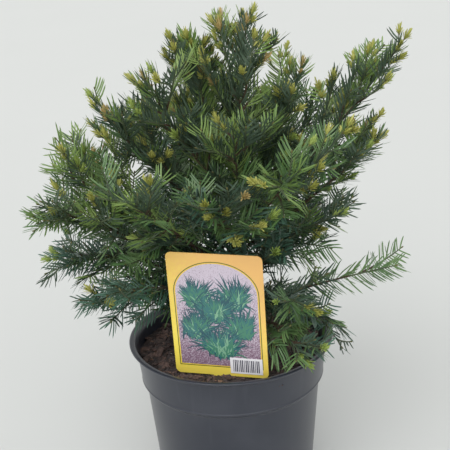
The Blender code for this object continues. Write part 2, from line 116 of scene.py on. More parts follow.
class Graph:
    """The shader nodes of one material or of the world."""

    def __init__(self, tree: bpy.types.NodeTree) -> None:
        """Work on one node tree."""
        self.tree = tree

    def node(self, kind: str, settings: Mapping[str, Any], inputs: Mapping[Any, Any]) -> bpy.types.Node:
        """Add a node.

        Args:
            kind: The node's type.
            settings: The node's own settings, which are set first.
            inputs: The values or links of its sockets, by name or number.

        Returns:
            The node.
        """
        made = self.tree.nodes.new(kind)
        for name, value in settings.items():
            setattr(made, name, value)
        for key, value in inputs.items():
            self.feed(made.inputs[key], value)
        return made

    def feed(self, socket: bpy.types.NodeSocket, value: Any) -> None:
        """Give a socket a link or a value.

        Args:
            socket: The input socket.
            value: A signal, an output socket, a colour, or a plain value.
        """
        if isinstance(value, Signal):
            value = value.socket
        if isinstance(value, bpy.types.NodeSocket):
            self.tree.links.new(value, socket)
        elif socket.type == "RGBA":
            socket.default_value = (*value, 1.0)
        else:
            socket.default_value = value

    def signal(self, kind: str, settings: Mapping[str, Any], inputs: Mapping[Any, Any]) -> Signal:
        """Add a node and return its first output as a signal."""
        return Signal(self, self.node(kind, settings, inputs).outputs[0])

    def place(self, stretch: tuple[float, float, float] = (1.0, 1.0, 1.0)) -> bpy.types.NodeSocket:
        """Return each point's own place, stretched along the axes."""
        spot = self.node("ShaderNodeTexCoord", {}, {}).outputs["Object"]
        return self.node("ShaderNodeVectorMath", {"operation": "MULTIPLY"}, {0: spot, 1: stretch}).outputs[0]

    def along(self, stretch: tuple[float, float, float]) -> bpy.types.NodeSocket:
        """Return each point's place on the mesh's map, stretched along the axes."""
        spot = self.node("ShaderNodeTexCoord", {}, {}).outputs["UV"]
        return self.node("ShaderNodeVectorMath", {"operation": "MULTIPLY"}, {0: spot, 1: stretch}).outputs[0]

    def noise(self, scale: float, detail: float, place: bpy.types.NodeSocket) -> Signal:
        """Return a cloudy noise of about 0 to 1 with the given features to the metre."""
        inputs = {"Scale": scale, "Detail": detail, "Vector": place}
        return self.signal("ShaderNodeTexNoise", {}, inputs)

    def mix(self, factor: Signal, first: Any, second: Any) -> bpy.types.NodeSocket:
        """Return a colour between two others."""
        inputs = {0: factor, 6: first, 7: second}
        return self.node("ShaderNodeMix", {"data_type": "RGBA"}, inputs).outputs[2]

    def relief(self, height: Signal, depth: float, strength: float) -> bpy.types.NodeSocket:
        """Return a normal that shows a height, depth metres deep, as bumps."""
        inputs = {"Height": height, "Distance": depth, "Strength": strength}
        return self.node("ShaderNodeBump", {}, inputs).outputs[0]


@dataclass(frozen=True)
class Finish:
    """A surface finish, made into a material at its first use."""

    name: str
    roughness: float

    def material(self) -> bpy.types.Material:
        """Return the finish's material.

        Returns:
            The material, with its uniform values on the shader's own sockets.
        """
        made = bpy.data.materials.get(self.name)
        if made is None:
            made = bpy.data.materials.new(self.name)
            made.use_nodes = True
            shader = made.node_tree.nodes["Principled BSDF"]
            shader.inputs["Roughness"].default_value = self.roughness
            self.dress(Graph(made.node_tree), shader.inputs)
        return made

    def dress(self, graph: Graph, shader: bpy.types.NodeInputs) -> None:
        """Add what varies over the surface."""
        raise NotImplementedError


@dataclass(frozen=True)
class LeafFinish(Finish):
    """The skin of needles: two near tints that drift from spray to spray, under a satin gloss."""

    deep: Colour
    pale: Colour
    sheen: float = 0.5

    def dress(self, graph: Graph, shader: bpy.types.NodeInputs) -> None:
        """Let the tint drift over a few needles' lengths."""
        shader["Specular IOR Level"].default_value = self.sheen
        drift = graph.noise(45.0, 2.0, graph.place()).rise(0.38, 0.62)
        graph.feed(shader["Base Color"], graph.mix(drift, self.deep, self.pale))


@dataclass(frozen=True)
class BarkFinish(Finish):
    """Flaking bark: long fibres, darker cracks and paler scales."""

    crack: Colour
    scale: Colour
    flake: Colour

    def dress(self, graph: Graph, shader: bpy.types.NodeInputs) -> None:
        """Draw fibres along the limb, with flakes laid over them."""
        fibres = graph.noise(1.0, 5.0, graph.along((14.0, 260.0, 1.0)))
        flakes = graph.noise(1.0, 3.0, graph.along((5.0, 90.0, 1.0))).rise(0.52, 0.64)
        colour = graph.mix(fibres.rise(0.3, 0.7), self.crack, self.scale)
        colour = graph.mix(flakes * 0.7, colour, self.flake)
        graph.feed(shader["Base Color"], colour)
        graph.feed(shader["Roughness"], 0.72 + 0.2 * fibres)
        graph.feed(shader["Normal"], graph.relief(fibres + 0.6 * flakes, 0.0006, 0.7))


@dataclass(frozen=True)
class PotFinish(Finish):
    """Moulded plastic: fine grain, faint upright streaks and a film of dust."""

    body: Colour
    dust: Colour

    def dress(self, graph: Graph, shader: bpy.types.NodeInputs) -> None:
        """Lay dust in soft patches and thin streaks over the grain."""
        patches = graph.noise(16.0, 4.0, graph.place()).rise(0.46, 0.74)
        streaks = graph.noise(1.0, 3.0, graph.place((150.0, 150.0, 9.0))).rise(0.56, 0.78)
        grain = graph.noise(1500.0, 2.0, graph.place())
        film = 0.12 * patches + 0.10 * streaks
        graph.feed(shader["Base Color"], graph.mix(film, self.body, self.dust))
        graph.feed(shader["Roughness"], self.roughness + 0.22 * film + 0.06 * grain)
        graph.feed(shader["Normal"], graph.relief(grain, 0.0001, 0.25))
        shader["Coat Weight"].default_value = 0.35
        shader["Coat Roughness"].default_value = 0.28


@dataclass(frozen=True)
class CrumbFinish(Finish):
    """Moist compost or a bark chip: two earthy tints in fine grains, with a rough skin."""

    dark: Colour
    light: Colour
    grains: float = 420.0

    def dress(self, graph: Graph, shader: bpy.types.NodeInputs) -> None:
        """Mix the two tints by grains, and roughen the skin with them."""
        grains = graph.noise(self.grains, 4.0, graph.place())
        drift = graph.noise(38.0, 2.0, graph.place())
        graph.feed(shader["Base Color"], graph.mix((0.6 * grains + 0.4 * drift).rise(0.4, 0.62), self.dark, self.light))
        graph.feed(shader["Roughness"], 0.62 + 0.3 * grains)
        graph.feed(shader["Normal"], graph.relief(grains, 0.0008, 0.8))


@dataclass(frozen=True)
class PrintFinish(Finish):
    """Ink on glossy card: two tints that run into each other across the card, with a fine speckle."""

    first: Colour
    second: Colour
    speckles: float = 500.0
    speckle_depth: float = 0.1
    slant: tuple[float, float, float] = (9.0, 0.0, 6.0)
    start: float = 0.55

    def dress(self, graph: Graph, shader: bpy.types.NodeInputs) -> None:
        """Run the first tint into the second along the slant, broken by speckles."""
        slope = graph.signal("ShaderNodeVectorMath", {"operation": "DOT_PRODUCT"}, {0: graph.place(), 1: self.slant})
        slope = Signal(graph, slope.socket.node.outputs["Value"])
        speckles = graph.noise(self.speckles, 3.0, graph.place()) - 0.5
        run = slope - self.start + 0.5 + self.speckle_depth * 10 * speckles
        graph.feed(shader["Base Color"], graph.mix(run.rise(0.0, 1.0), self.first, self.second))
        shader["Coat Weight"].default_value = 0.25
        shader["Coat Roughness"].default_value = 0.2


@dataclass(frozen=True)
class FloorFinish(Finish):
    """A pale matt floor with a barely visible cloudiness."""

    pale: Colour
    shade: Colour

    def dress(self, graph: Graph, shader: bpy.types.NodeInputs) -> None:
        """Cloud the floor a little."""
        graph.feed(shader["Base Color"], graph.mix(graph.noise(3.0, 2.0, graph.place()), self.pale, self.shade))


class NeedleTint(Enum):
    """The tints of grown needles, dealt out by spray, as two near display colours."""

    DEEP = ((48, 68, 56), (62, 85, 68))
    BLUISH = ((60, 93, 78), (79, 112, 93))
    GRASS = ((79, 111, 66), (98, 127, 77))
    FRESH = ((100, 128, 66), (119, 145, 78))
    PALE = ((114, 140, 73), (133, 156, 86))

    def finish(self) -> LeafFinish:
        """Return the finish of needles of this tint."""
        return LeafFinish("needle " + self.name.lower(), 0.36, display(*self.value[0]), display(*self.value[1]))


class TuftTint(Enum):
    """The tints of the soft new growth, as two near display colours."""

    AMBER = ((168, 149, 96), (194, 173, 118))
    YELLOW = ((158, 161, 80), (186, 186, 106))
    LIME = ((136, 157, 76), (160, 178, 98))

    def finish(self) -> LeafFinish:
        """Return the finish of new growth of this tint."""
        tints = (display(*self.value[0]), display(*self.value[1]))
        return LeafFinish("new growth " + self.name.lower(), 0.55, *tints, 0.3)


UNDERSIDE = LeafFinish("needle underside", 0.6, display(72, 90, 74), display(88, 106, 88), 0.25)
YOUNG_TWIG = LeafFinish("young twig", 0.6, display(70, 80, 60), display(86, 96, 70), 0.3)
BUD_SCALE = LeafFinish("bud scale", 0.6, display(84, 84, 50), display(106, 102, 62), 0.3)
BARK = BarkFinish("yew bark", 0.85, display(44, 32, 29), display(98, 70, 58), display(126, 98, 84))
OLD_TWIG = BarkFinish("old twig", 0.8, display(54, 42, 34), display(94, 76, 58), display(114, 98, 78))


@dataclass
class Heap:
    """Triangles gathered in arrays, which become one joined mesh."""

    points: list[np.ndarray] = field(default_factory=list)
    faces: list[np.ndarray] = field(default_factory=list)
    kinds: list[np.ndarray] = field(default_factory=list)
    maps: list[np.ndarray] = field(default_factory=list)
    size: int = 0

    def add(self, points: np.ndarray, faces: np.ndarray, kinds: np.ndarray | None = None,
            spots: np.ndarray | None = None) -> None:
        """Add one shape.

        Args:
            points: Its corners.
            faces: Its triangles, as numbers of corners.
            kinds: The finish of each triangle, as a number; 0 if left out.
            spots: The place of each corner on the mesh's map, if it has one.
        """
        self.points.append(points)
        self.faces.append(faces + self.size)
        self.kinds.append(np.zeros(len(faces), int) if kinds is None else kinds)
        if spots is not None:
            self.maps.append(spots)
        self.size += len(points)

    def add_copies(self, points: np.ndarray, faces: np.ndarray, kinds: np.ndarray | None = None) -> None:
        """Add many shapes with the same triangles.

        Args:
            points: The corners of each shape, as an array of shapes, corners and axes.
            faces: The triangles of one shape.
            kinds: The finish of each triangle of one shape.
        """
        count, corners = points.shape[:2]
        shift = corners * np.arange(count)[:, None, None]
        repeated = None if kinds is None else np.tile(kinds, count)
        self.add(points.reshape(-1, 3), (faces[None] + shift).reshape(-1, 3), repeated)

    @property
    def triangles(self) -> int:
        """Return how many triangles the heap holds."""
        return sum(len(faces) for faces in self.faces)

    def piece(self, name: str, finishes: Sequence[Finish], slot: str, crease: float = 40.0) -> bpy.types.Object:
        """Make the joined mesh as a piece of the object.

        Args:
            name: The piece's name.
            finishes: The finishes that the triangles' kinds number.
            slot: Not used.
            crease: The angle in degrees past which an edge looks sharp.

        Returns:
            The piece, which rides on the plant's body.
        """
        points = np.concatenate(self.points).astype(np.float32)
        faces = np.concatenate(self.faces).astype(np.int32)
        mesh = bpy.data.meshes.new(name)
        mesh.vertices.add(len(points))
        mesh.vertices.foreach_set("co", points.ravel())
        mesh.loops.add(3 * len(faces))
        mesh.loops.foreach_set("vertex_index", faces.ravel())
        mesh.polygons.add(len(faces))
        mesh.polygons.foreach_set("loop_start", np.arange(0, 3 * len(faces), 3, dtype=np.int32))
        mesh.polygons.foreach_set("material_index", np.concatenate(self.kinds).astype(np.int32))
        mesh.update(calc_edges=True)
        mesh.validate()
        if self.maps:
            spots = np.concatenate(self.maps).astype(np.float32)[faces.ravel()]
            mesh.uv_layers.new(name="UVMap").uv.foreach_set("vector", spots.ravel())
        return as_piece(name, mesh, finishes, crease)


def as_piece(name: str, mesh: bpy.types.Mesh, finishes: Sequence[Finish],
             crease: float = 40.0) -> bpy.types.Object:
    """Put a mesh in the scene as a piece of the object.

    Args:
        name: The piece's name.
        mesh: Its mesh, in place.
        finishes: Its finishes, in the order of its material slots.
        crease: The angle in degrees past which an edge looks sharp.

    Returns:
        The piece, which rides on the plant's body.
    """
    for finish in finishes:
        mesh.materials.append(finish.material())
    mesh.shade_smooth()
    mesh.set_sharp_from_angle(angle=math.radians(crease))
    piece = bpy.data.objects.new(name, mesh)
    bpy.context.scene.collection.objects.link(piece)
    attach(piece, BODY)
    LOG.info("%s: %d triangles", name, sum(len(face.vertices) - 2 for face in mesh.polygons))
    return piece


def frames_along(line: np.ndarray) -> tuple[np.ndarray, np.ndarray, np.ndarray]:
    """Return the directions along, across and beside a line at each of its points.

    Args:
        line: The line's points.

    Returns:
        Three arrays of unit vectors, without a sudden twist from point to point.
    """
    along = unit(np.gradient(line, axis=0))
    across = np.empty_like(along)
    hint = np.cross(along[0], UP) if abs(along[0][2]) < 0.95 else np.array((1.0, 0.0, 0.0))
    for index, way in enumerate(along):
        hint = unit(hint - way * (hint @ way))
        across[index] = hint
    return along, across, np.cross(along, across)


def tube(line: np.ndarray, radii: np.ndarray, sides: int) -> tuple[np.ndarray, np.ndarray, np.ndarray]:
    """Return a closed tube round a line, with a round blunt end at each end.

    Args:
        line: The points of the middle line.
        radii: The radius at each point, or at each point and side.
        sides: The number of sides.

    Returns:
        Its corners, its triangles, and the corners' places on a map: the share of
        the turn, and the distance along the line.
    """
    along, across, beside = frames_along(line)
    turns = math.tau * np.arange(sides) / sides
    outward = np.cos(turns)[None, :, None] * across[:, None] + np.sin(turns)[None, :, None] * beside[:, None]
    radii = np.broadcast_to(np.reshape(radii, (len(line), -1)), (len(line), sides))
    rings = line[:, None] + radii[:, :, None] * outward
    points = np.concatenate((rings.reshape(-1, 3), line[:1] - along[:1] * radii[0].mean() * 0.4,
                             line[-1:] + along[-1:] * radii[-1].mean() * 0.8))
    low = (np.arange(len(line) - 1)[:, None] * sides + np.arange(sides)).ravel()
    low_next = (np.arange(len(line) - 1)[:, None] * sides + (np.arange(sides) + 1) % sides).ravel()
    start = len(points) - 2
    ring = np.arange(sides)
    ring_next = (ring + 1) % sides
    last = (len(line) - 1) * sides
    faces = np.concatenate((
        np.stack((low, low_next, low_next + sides), 1),
        np.stack((low, low_next + sides, low + sides), 1),
        np.stack((ring_next, ring, np.full(sides, start)), 1),
        np.stack((last + ring, last + ring_next, np.full(sides, start + 1)), 1),
    ))
    reach = np.concatenate(([0.0], np.cumsum(np.linalg.norm(np.diff(line, axis=0), axis=1))))
    spots = np.stack(np.broadcast_arrays(turns[None] / math.tau, reach[:, None]), 2).reshape(-1, 2)
    return points, faces, np.concatenate((spots, ((0.5, 0.0), (0.5, reach[-1]))))


def even_line(line: np.ndarray, step: float) -> np.ndarray:
    """Return a smooth line through the same points, with even steps.

    Args:
        line: The points to pass through.
        step: The rough distance between the new points.

    Returns:
        The new points, of which the first and last are the old ends.
    """
    ahead = np.concatenate((line[:1] * 2 - line[1:2], line, line[-1:] * 2 - line[-2:-1]))
    fine = []
    for index in range(len(line) - 1):
        a, b, c, d = ahead[index:index + 4]
        for share in np.linspace(0, 1, 6, endpoint=False):
            fine.append(0.5 * (2 * b + (c - a) * share + (2 * a - 5 * b + 4 * c - d) * share ** 2
                               + (3 * b - a - 3 * c + d) * share ** 3))
    fine = np.array(fine + [line[-1]])
    reach = np.concatenate(([0.0], np.cumsum(np.linalg.norm(np.diff(fine, axis=0), axis=1))))
    count = max(3, round(reach[-1] / step) + 1)
    wanted = np.linspace(0, reach[-1], count)
    return np.stack([np.interp(wanted, reach, fine[:, axis]) for axis in range(3)], 1)


@dataclass(frozen=True)
class Limb:
    """One limb of the crown: a bough and the mass of shoots that it carries.

    leaves_at is the height at which it leaves the stem, tip is the end of its
    leading shoot, and arch is how far its middle stands above a straight line,
    as a share of its length. shoot is the length of the leading shoot, sides is
    the number of shoots that leave it, fresh is how pale its
    needles are, partly their fresher tint and partly painted light and shade, set
    higher where the crown is lit and lower where it lies in shade, forks scales
    the finer twigs that it carries, and trim the length of its side shoots.
    """

    name: str
    leaves_at: float
    tip: tuple[float, float, float]
    arch: float
    shoot: float = 0.115
    sides: int = 3
    fresh: float = 0.25
    forks: float = 1.0
    trim: float = 1.0


# The seventh number, how pale a limb's needles are, is partly painted light and shade: higher on limbs near the lit
# top, lower on limbs in the shaded middle of the crown; the same holds for TOP.
LIMBS = (
    Limb("left_upper_back", 0.300, (-0.039, 0.022, 0.447), -0.10, 0.115, 4, 0.4),
    Limb("left_upper", 0.282, (-0.066, -0.030, 0.427), -0.08, 0.115, 4, 0.45),
    Limb("left_high", 0.258, (-0.114, -0.010, 0.398), -0.06, 0.125, 4, 0.3, 0.6, 0.8),
    Limb("left_middle", 0.228, (-0.157, -0.020, 0.348), -0.04, 0.125, 4, 0.55),
    Limb("left_wide", 0.206, (-0.170, -0.050, 0.320), 0.02, 0.125, 4, 0.55),
    Limb("left_low", 0.188, (-0.171, -0.016, 0.248), 0.12, 0.120, 4, 0.3, 0.35, 0.65),
    Limb("left_skirt", 0.168, (-0.144, -0.036, 0.206), 0.15, 0.115, 4, 0.25, 0.4),
    Limb("right_upper", 0.292, (0.081, 0.030, 0.420), -0.08, 0.115, 4, 0.35, 0.6, 0.75),
    Limb("right_long", 0.266, (0.166, 0.010, 0.430), -0.04, 0.125, 4, 0.35, 0.2, 0.6),
    Limb("right_high", 0.236, (0.150, -0.012, 0.355), -0.02, 0.120, 4, 0.4, 0.45, 0.75),
    Limb("right_middle", 0.212, (0.108, -0.054, 0.296), 0.05, 0.115, 4, 0.35, 0.5, 0.6),
    Limb("right_low", 0.176, (0.164, -0.032, 0.234), 0.02, 0.120, 2, 0.3, 0.0),
    Limb("right_skirt", 0.164, (0.113, -0.045, 0.163), 0.26, 0.115, 4, 0.35, 0.45),
    Limb("front_upper", 0.272, (0.010, -0.070, 0.392), -0.06, 0.115, 4, 0.5),
    Limb("front_right", 0.244, (0.066, -0.112, 0.360), 0.02),
    Limb("front_middle", 0.224, (-0.016, -0.132, 0.338), 0.04, 0.115, 4, 0.15),
    Limb("front_left", 0.212, (-0.082, -0.118, 0.342), 0.02, 0.115, 3, 0.35),
    Limb("front_left_low", 0.178, (-0.112, -0.086, 0.240), 0.10, 0.110, 4, 0.2, 0.6),
    Limb("front_right_low", 0.172, (0.078, -0.098, 0.218), 0.14, 0.105, 3, 0.45, 0.5),
    Limb("front_right_skirt", 0.158, (0.070, -0.098, 0.164), 0.22, 0.095, 4, 0.5, 0.8),
    Limb("front_low", 0.192, (0.044, -0.092, 0.278), 0.04, 0.100, 3, 0.05),
    Limb("back_upper", 0.276, (0.004, 0.084, 0.402), -0.04),
    Limb("back_right", 0.250, (0.104, 0.112, 0.362), 0.0, 0.120),
    Limb("back_left", 0.240, (-0.098, 0.110, 0.356), 0.0, 0.120),
    Limb("back_middle", 0.218, (-0.004, 0.156, 0.318), 0.06, 0.120),
    Limb("back_right_low", 0.196, (0.122, 0.108, 0.242), 0.12, 0.120, 3, 0.25, 0.7, 0.6),
    Limb("back_left_low", 0.192, (-0.112, 0.106, 0.240), 0.12, 0.120),
)
TOP = Limb("top", 0.345, (0.025, 0.008, 0.467), 0.0, 0.120, 4, 0.6, 0.5, 0.55)


@dataclass(frozen=True)
class Sprig:
    """A finer shoot that shows in the crown's outline.

    limb is the name of the limb that it leaves, share is how far along it, tip is
    where it ends, and arch is how far its middle stands above a straight line, as
    a share of its length.
    """

    limb: str
    share: float
    tip: tuple[float, float, float]
    arch: float = 0.0


SPRIGS = (
    Sprig("top", 0.22, (0.005, 0.000, 0.449), -0.08),
    Sprig("top", 0.30, (0.033, -0.010, 0.442), -0.06),
    Sprig("top", 0.10, (-0.011, -0.020, 0.432), -0.10),
    Sprig("top", 0.45, (0.027, -0.012, 0.456), -0.02),
    Sprig("left_upper_back", 0.50, (-0.024, 0.004, 0.442), 0.06),
    Sprig("left_middle", 0.62, (-0.145, -0.010, 0.362), -0.05),
    Sprig("left_middle", 0.50, (-0.100, -0.016, 0.362), 0.04),
    Sprig("left_high", 0.60, (-0.110, -0.004, 0.396), 0.02),
    Sprig("left_high", 0.45, (-0.076, -0.010, 0.390), 0.02),
    Sprig("left_low", 0.60, (-0.140, -0.022, 0.252), 0.06),
    Sprig("left_low", 0.48, (-0.136, -0.030, 0.231), 0.08),
    Sprig("left_low", 0.56, (-0.164, -0.032, 0.243), 0.06),
    Sprig("left_wide", 0.64, (-0.167, -0.052, 0.306), 0.03),
    Sprig("left_skirt", 0.50, (-0.108, -0.042, 0.196), 0.10),
    Sprig("left_skirt", 0.36, (-0.086, -0.034, 0.192), 0.14),
    Sprig("right_long", 0.45, (0.106, 0.014, 0.400), -0.02),
    Sprig("right_long", 0.60, (0.124, 0.006, 0.408), 0.04),
    Sprig("right_long", 0.72, (0.134, 0.012, 0.418), 0.0),
    Sprig("right_long", 0.84, (0.166, 0.009, 0.431), 0.03),
    Sprig("right_upper", 0.55, (0.062, 0.010, 0.390), 0.02),
    Sprig("right_high", 0.62, (0.139, -0.006, 0.367), 0.02),
    Sprig("right_middle", 0.40, (0.094, -0.030, 0.252), 0.06),
    Sprig("right_skirt", 0.55, (0.100, -0.058, 0.166), 0.14),
)


@dataclass(frozen=True)
class Habit:
    """How the plant grows: the sizes and the rule that its solids were grown by."""

    foot: tuple[float, float, float] = (0.002, 0.004, 0.1403)
    tip: tuple[float, float, float] = (0.020, 0.006, 0.345)
    foot_radius: float = 0.0066
    tip_radius: float = 0.0019
    flare: float = 0.0044
    flare_height: float = 0.010
    bend: float = 0.005
    bend_loss: float = 0.3
    bend_depth: float = 0.6
    bough_tip_radius: float = 0.0014
    bough_taper: float = 0.011
    needle_pitch: float = 0.0080
    needle_length: float = 0.026
    needle_least: float = 0.62
    needle_sweep: float = math.radians(28)
    needle_rise: float = 0.25
    twig_radius: float = 0.0014
    twig_tip_radius: float = 0.0008
    lead_flatness: float = 0.7
    upright: float = 1.0
    overhang: float = 0.011
    shortest: int = 4
    side_angle: float = math.radians(50)
    side_share: float = 0.72
    side_loss: float = 0.3
    first_fork: float = 0.14
    last_fork: float = 0.70
    fork_place: float = 0.4
    turn_play: float = 0.3
    roll_play: float = 0.5
    upturn: float = 0.35
    seed: int = 43

    def stem_point(self, share: float) -> np.ndarray:
        """Return the stem's middle at a share of its length."""
        bend = self.bend * math.sin(math.tau * share) * (1 - self.bend_loss * share)
        straight = np.array(self.foot) * (1 - share) + np.array(self.tip) * share
        return straight + np.array((-bend, self.bend_depth * bend, 0))

    def stem_radius(self, share: float) -> float:
        """Return the stem's radius at a share of its length."""
        flare = self.flare * math.exp(-share * (self.tip[2] - self.foot[2]) / self.flare_height)
        return self.foot_radius + (self.tip_radius - self.foot_radius) * share + flare

    def limb_point(self, limb: Limb, share: float) -> np.ndarray:
        """Return a point on a limb's middle line, from the stem at 0 to its tip at 1.

        Args:
            limb: The limb.
            share: The share of the way along it.

        Returns:
            The point.
        """
        start = self.stem_point((limb.leaves_at - self.foot[2]) / (self.tip[2] - self.foot[2]))
        end = np.array(limb.tip)
        middle = (start + end) / 2 + UP * limb.arch * np.linalg.norm(end - start) * 2
        return (1 - share) ** 2 * start + 2 * share * (1 - share) * middle + share ** 2 * end

    def limb_length(self, limb: Limb) -> float:
        """Return the length of a limb's middle line."""
        points = np.array([self.limb_point(limb, step / 12) for step in range(13)])
        return float(np.linalg.norm(np.diff(points, axis=0), axis=1).sum())

    def bough_share(self, limb: Limb) -> float:
        """Return the share of a limb that is bough, before its leading shoot starts."""
        return 1 - limb.shoot / self.limb_length(limb)

    def bough_radius(self, limb: Limb, share: float) -> float:
        """Return a bough's radius at a share of the bough."""
        root = self.bough_taper * self.bough_share(limb) * self.limb_length(limb)
        return self.bough_tip_radius + root * (1 - share)

    def lead_line(self, limb: Limb) -> np.ndarray:
        """Return the points of a limb's leading shoot, a pitch apart."""
        begin = self.bough_share(limb)
        end = 1 - self.overhang / self.limb_length(limb)
        count = round((limb.shoot - self.overhang) / self.needle_pitch)
        return np.array([self.limb_point(limb, begin + (end - begin) * step / count) for step in range(count + 1)])

    def side_plan(self, owner: int, limb: Limb) -> list[tuple[float, float, float]]:
        """Plan the side shoots of one mass.

        Args:
            owner: The number of the limb.
            limb: The limb.

        Returns:
            For each side shoot the share of the leading shoot at which it leaves,
            how far it is rolled round that shoot, and its length.
        """
        chance = random.Random(self.seed + owner)
        turn = chance.uniform(-self.turn_play, self.turn_play)
        plan = []
        for side in range(limb.sides):
            share = self.first_fork + (self.last_fork - self.first_fork) * side / (limb.sides - 1)
            roll = turn + math.pi * side + chance.uniform(-self.roll_play, self.roll_play)
            length = limb.shoot * (self.side_share - self.side_loss * share) * chance.uniform(0.9, 1.15)
            plan.append((share, roll, length))
        return plan

    def needle_reach(self, share: np.ndarray) -> np.ndarray:
        """Return the needles' lengths at shares of their shoot: shorter at both ends."""
        swell = np.sin(math.pi * (0.15 + 0.8 * share))
        return self.needle_length * (self.needle_least + (1 - self.needle_least) * swell)


def sides_of(heading: np.ndarray) -> tuple[np.ndarray, np.ndarray]:
    """Return the level direction beside a heading, and the one above it."""
    level = np.cross(heading, UP)
    hint = unit(level) if np.linalg.norm(level) > 0.2 else np.array((1.0, 0.0, 0.0))
    beside = unit(hint - heading * (hint @ heading))
    return beside, np.cross(beside, heading)


@dataclass(frozen=True)
class CardPlace:
    """Where the label stands: its card, its stake and how it is turned and leans."""

    width: float = 0.087
    height: float = 0.1245
    thickness: float = 0.0008
    corner: float = 0.005
    foot: tuple[float, float, float] = (-0.0096, -0.0620, 0.1455)
    turn: float = math.radians(-14.8)
    lean: float = math.radians(4.0)
    stake_width: float = 0.016
    stake_length: float = 0.040
    stake_point: float = 0.010

    def matrix(self) -> Matrix:
        """Return the place of the middle of the card's lower edge."""
        return Matrix.Translation(self.foot) @ Matrix.Rotation(self.turn, 4, "Z") @ Matrix.Rotation(self.lean, 4, "X")


@dataclass(frozen=True)
class PotShape:
    """The pot's sizes: a tapered body, a collar above a ledge, and a lip turned outward."""

    height: float = 0.156
    wall: float = 0.0016
    floor: float = 0.003
    base_radius: float = 0.0745
    body_radius: float = 0.0842
    body_top: float = 0.1125
    ledge_radius: float = 0.0880
    ledge_top: float = 0.1180
    collar_radius: float = 0.0915
    collar_top: float = 0.1500
    lip_radius: float = 0.0980
    compost_top: float = 0.140

    def inner_radius(self, height: float) -> float:
        """Return the radius of the pot's inside at a height."""
        heights = (self.floor, self.body_top, self.ledge_top, self.collar_top, self.height)
        radii = (self.base_radius, self.body_radius, self.ledge_radius, self.collar_radius, self.lip_radius)
        return float(np.interp(height, heights, radii)) - self.wall


EYE = (0.0, -0.916, 0.629)
HABIT = Habit()
CARD = CardPlace()
POT = PotShape()


class Room:
    """The space that twigs and needles may fill.

    A limb's shoots reach no further from its foot than its tip does. Nothing
    grows into the wood, the pot, the compost or the label, nor between the label
    and the eye.
    """

    wood_spare = 0.0018
    pot_spare = 0.0016
    card_spare = 0.004
    reach_spare = 0.003

    def __init__(self) -> None:
        """Sample the wood and the leading shoots."""
        self.card = np.array(CARD.matrix().inverted())
        self.eye = self.card[:3, :3] @ np.array(EYE) + self.card[:3, 3]
        limbs = (*LIMBS, TOP)
        shares = [np.linspace(HABIT.bough_share(limb), 1, 16) for limb in limbs]
        self.leads = np.array([[HABIT.limb_point(limb, s) for s in row] for limb, row in zip(limbs, shares)])
        self.feet = np.array([HABIT.limb_point(limb, 0) for limb in limbs])
        self.reach = np.linalg.norm(np.array([limb.tip for limb in limbs]) - self.feet, axis=1)
        middles = [HABIT.stem_point(share) for share in np.linspace(0, 1, 60)]
        radii = [HABIT.stem_radius(share) for share in np.linspace(0, 1, 60)]
        for limb in LIMBS:
            for share in np.linspace(0, 1, 30):
                middles.append(HABIT.limb_point(limb, share * HABIT.bough_share(limb)))
                radii.append(HABIT.bough_radius(limb, share))
        self.middles = np.array(middles)
        self.radii = np.array(radii)

    def owned(self, owner: int, points: np.ndarray) -> bool:
        """Say whether every point is within the owner's reach and nearest to its leading shoot."""
        if (np.linalg.norm(points - self.feet[owner], axis=1) > self.reach[owner]).any():
            return False
        gaps = np.linalg.norm(points[:, None, None] - self.leads[None], axis=3).min(axis=2)
        own = gaps[:, owner].copy()
        gaps[:, owner] = np.inf
        return bool((own + 0.0008 < gaps.min(axis=1)).all())

    def reached(self, owner: int, points: np.ndarray) -> np.ndarray:
        """Return which points are within the owner's reach."""
        return np.linalg.norm(points - self.feet[owner], axis=-1) < self.reach[owner] + self.reach_spare

    def off_wood(self, points: np.ndarray) -> np.ndarray:
        """Return which points are clear of the stem and the boughs."""
        gaps = np.linalg.norm(points[..., None, :] - self.middles, axis=-1)
        return (gaps > self.radii + self.wood_spare).all(axis=-1)

    def off_pot(self, points: np.ndarray) -> np.ndarray:
        """Return which points are clear of the pot, the compost and the label.

        Args:
            points: The points, in an array whose last axis is X, Y and Z.

        Returns:
            One truth value for each point.
        """
        across = np.hypot(points[..., 0], points[..., 1])
        height = points[..., 2]
        inside = (across < POT.inner_radius(POT.collar_top) - self.pot_spare) & (height > POT.compost_top + 0.004)
        outside = across > POT.lip_radius + self.pot_spare
        clear = inside | outside | (height > POT.height + self.pot_spare)
        card = points @ self.card[:3, :3].T + self.card[:3, 3]
        scale = self.eye[1] / (self.eye[1] - np.minimum(card[..., 1], 0))
        seen = self.eye + (card - self.eye) * scale[..., None]
        behind = (np.abs(seen[..., 0]) < CARD.width / 2 + self.card_spare) & (seen[..., 2] < CARD.height + self.card_spare)
        return clear & ~(behind & (card[..., 1] < self.card_spare))


@dataclass(frozen=True)
class Shoot:
    """One leafy shoot.

    owner is the number of its limb, order its place in the branching, from 0 for
    a leading shoot, line its middle line from root to tip, flatness how far its
    needles spread to two sides, and vigour the size of its needles.
    """

    owner: int
    order: int
    line: np.ndarray
    flatness: float
    vigour: float
    tint: NeedleTint
    tuft: TuftTint | None

    @property
    def length(self) -> float:
        """Return the length of the middle line."""
        return float(np.linalg.norm(np.diff(self.line, axis=0), axis=1).sum())


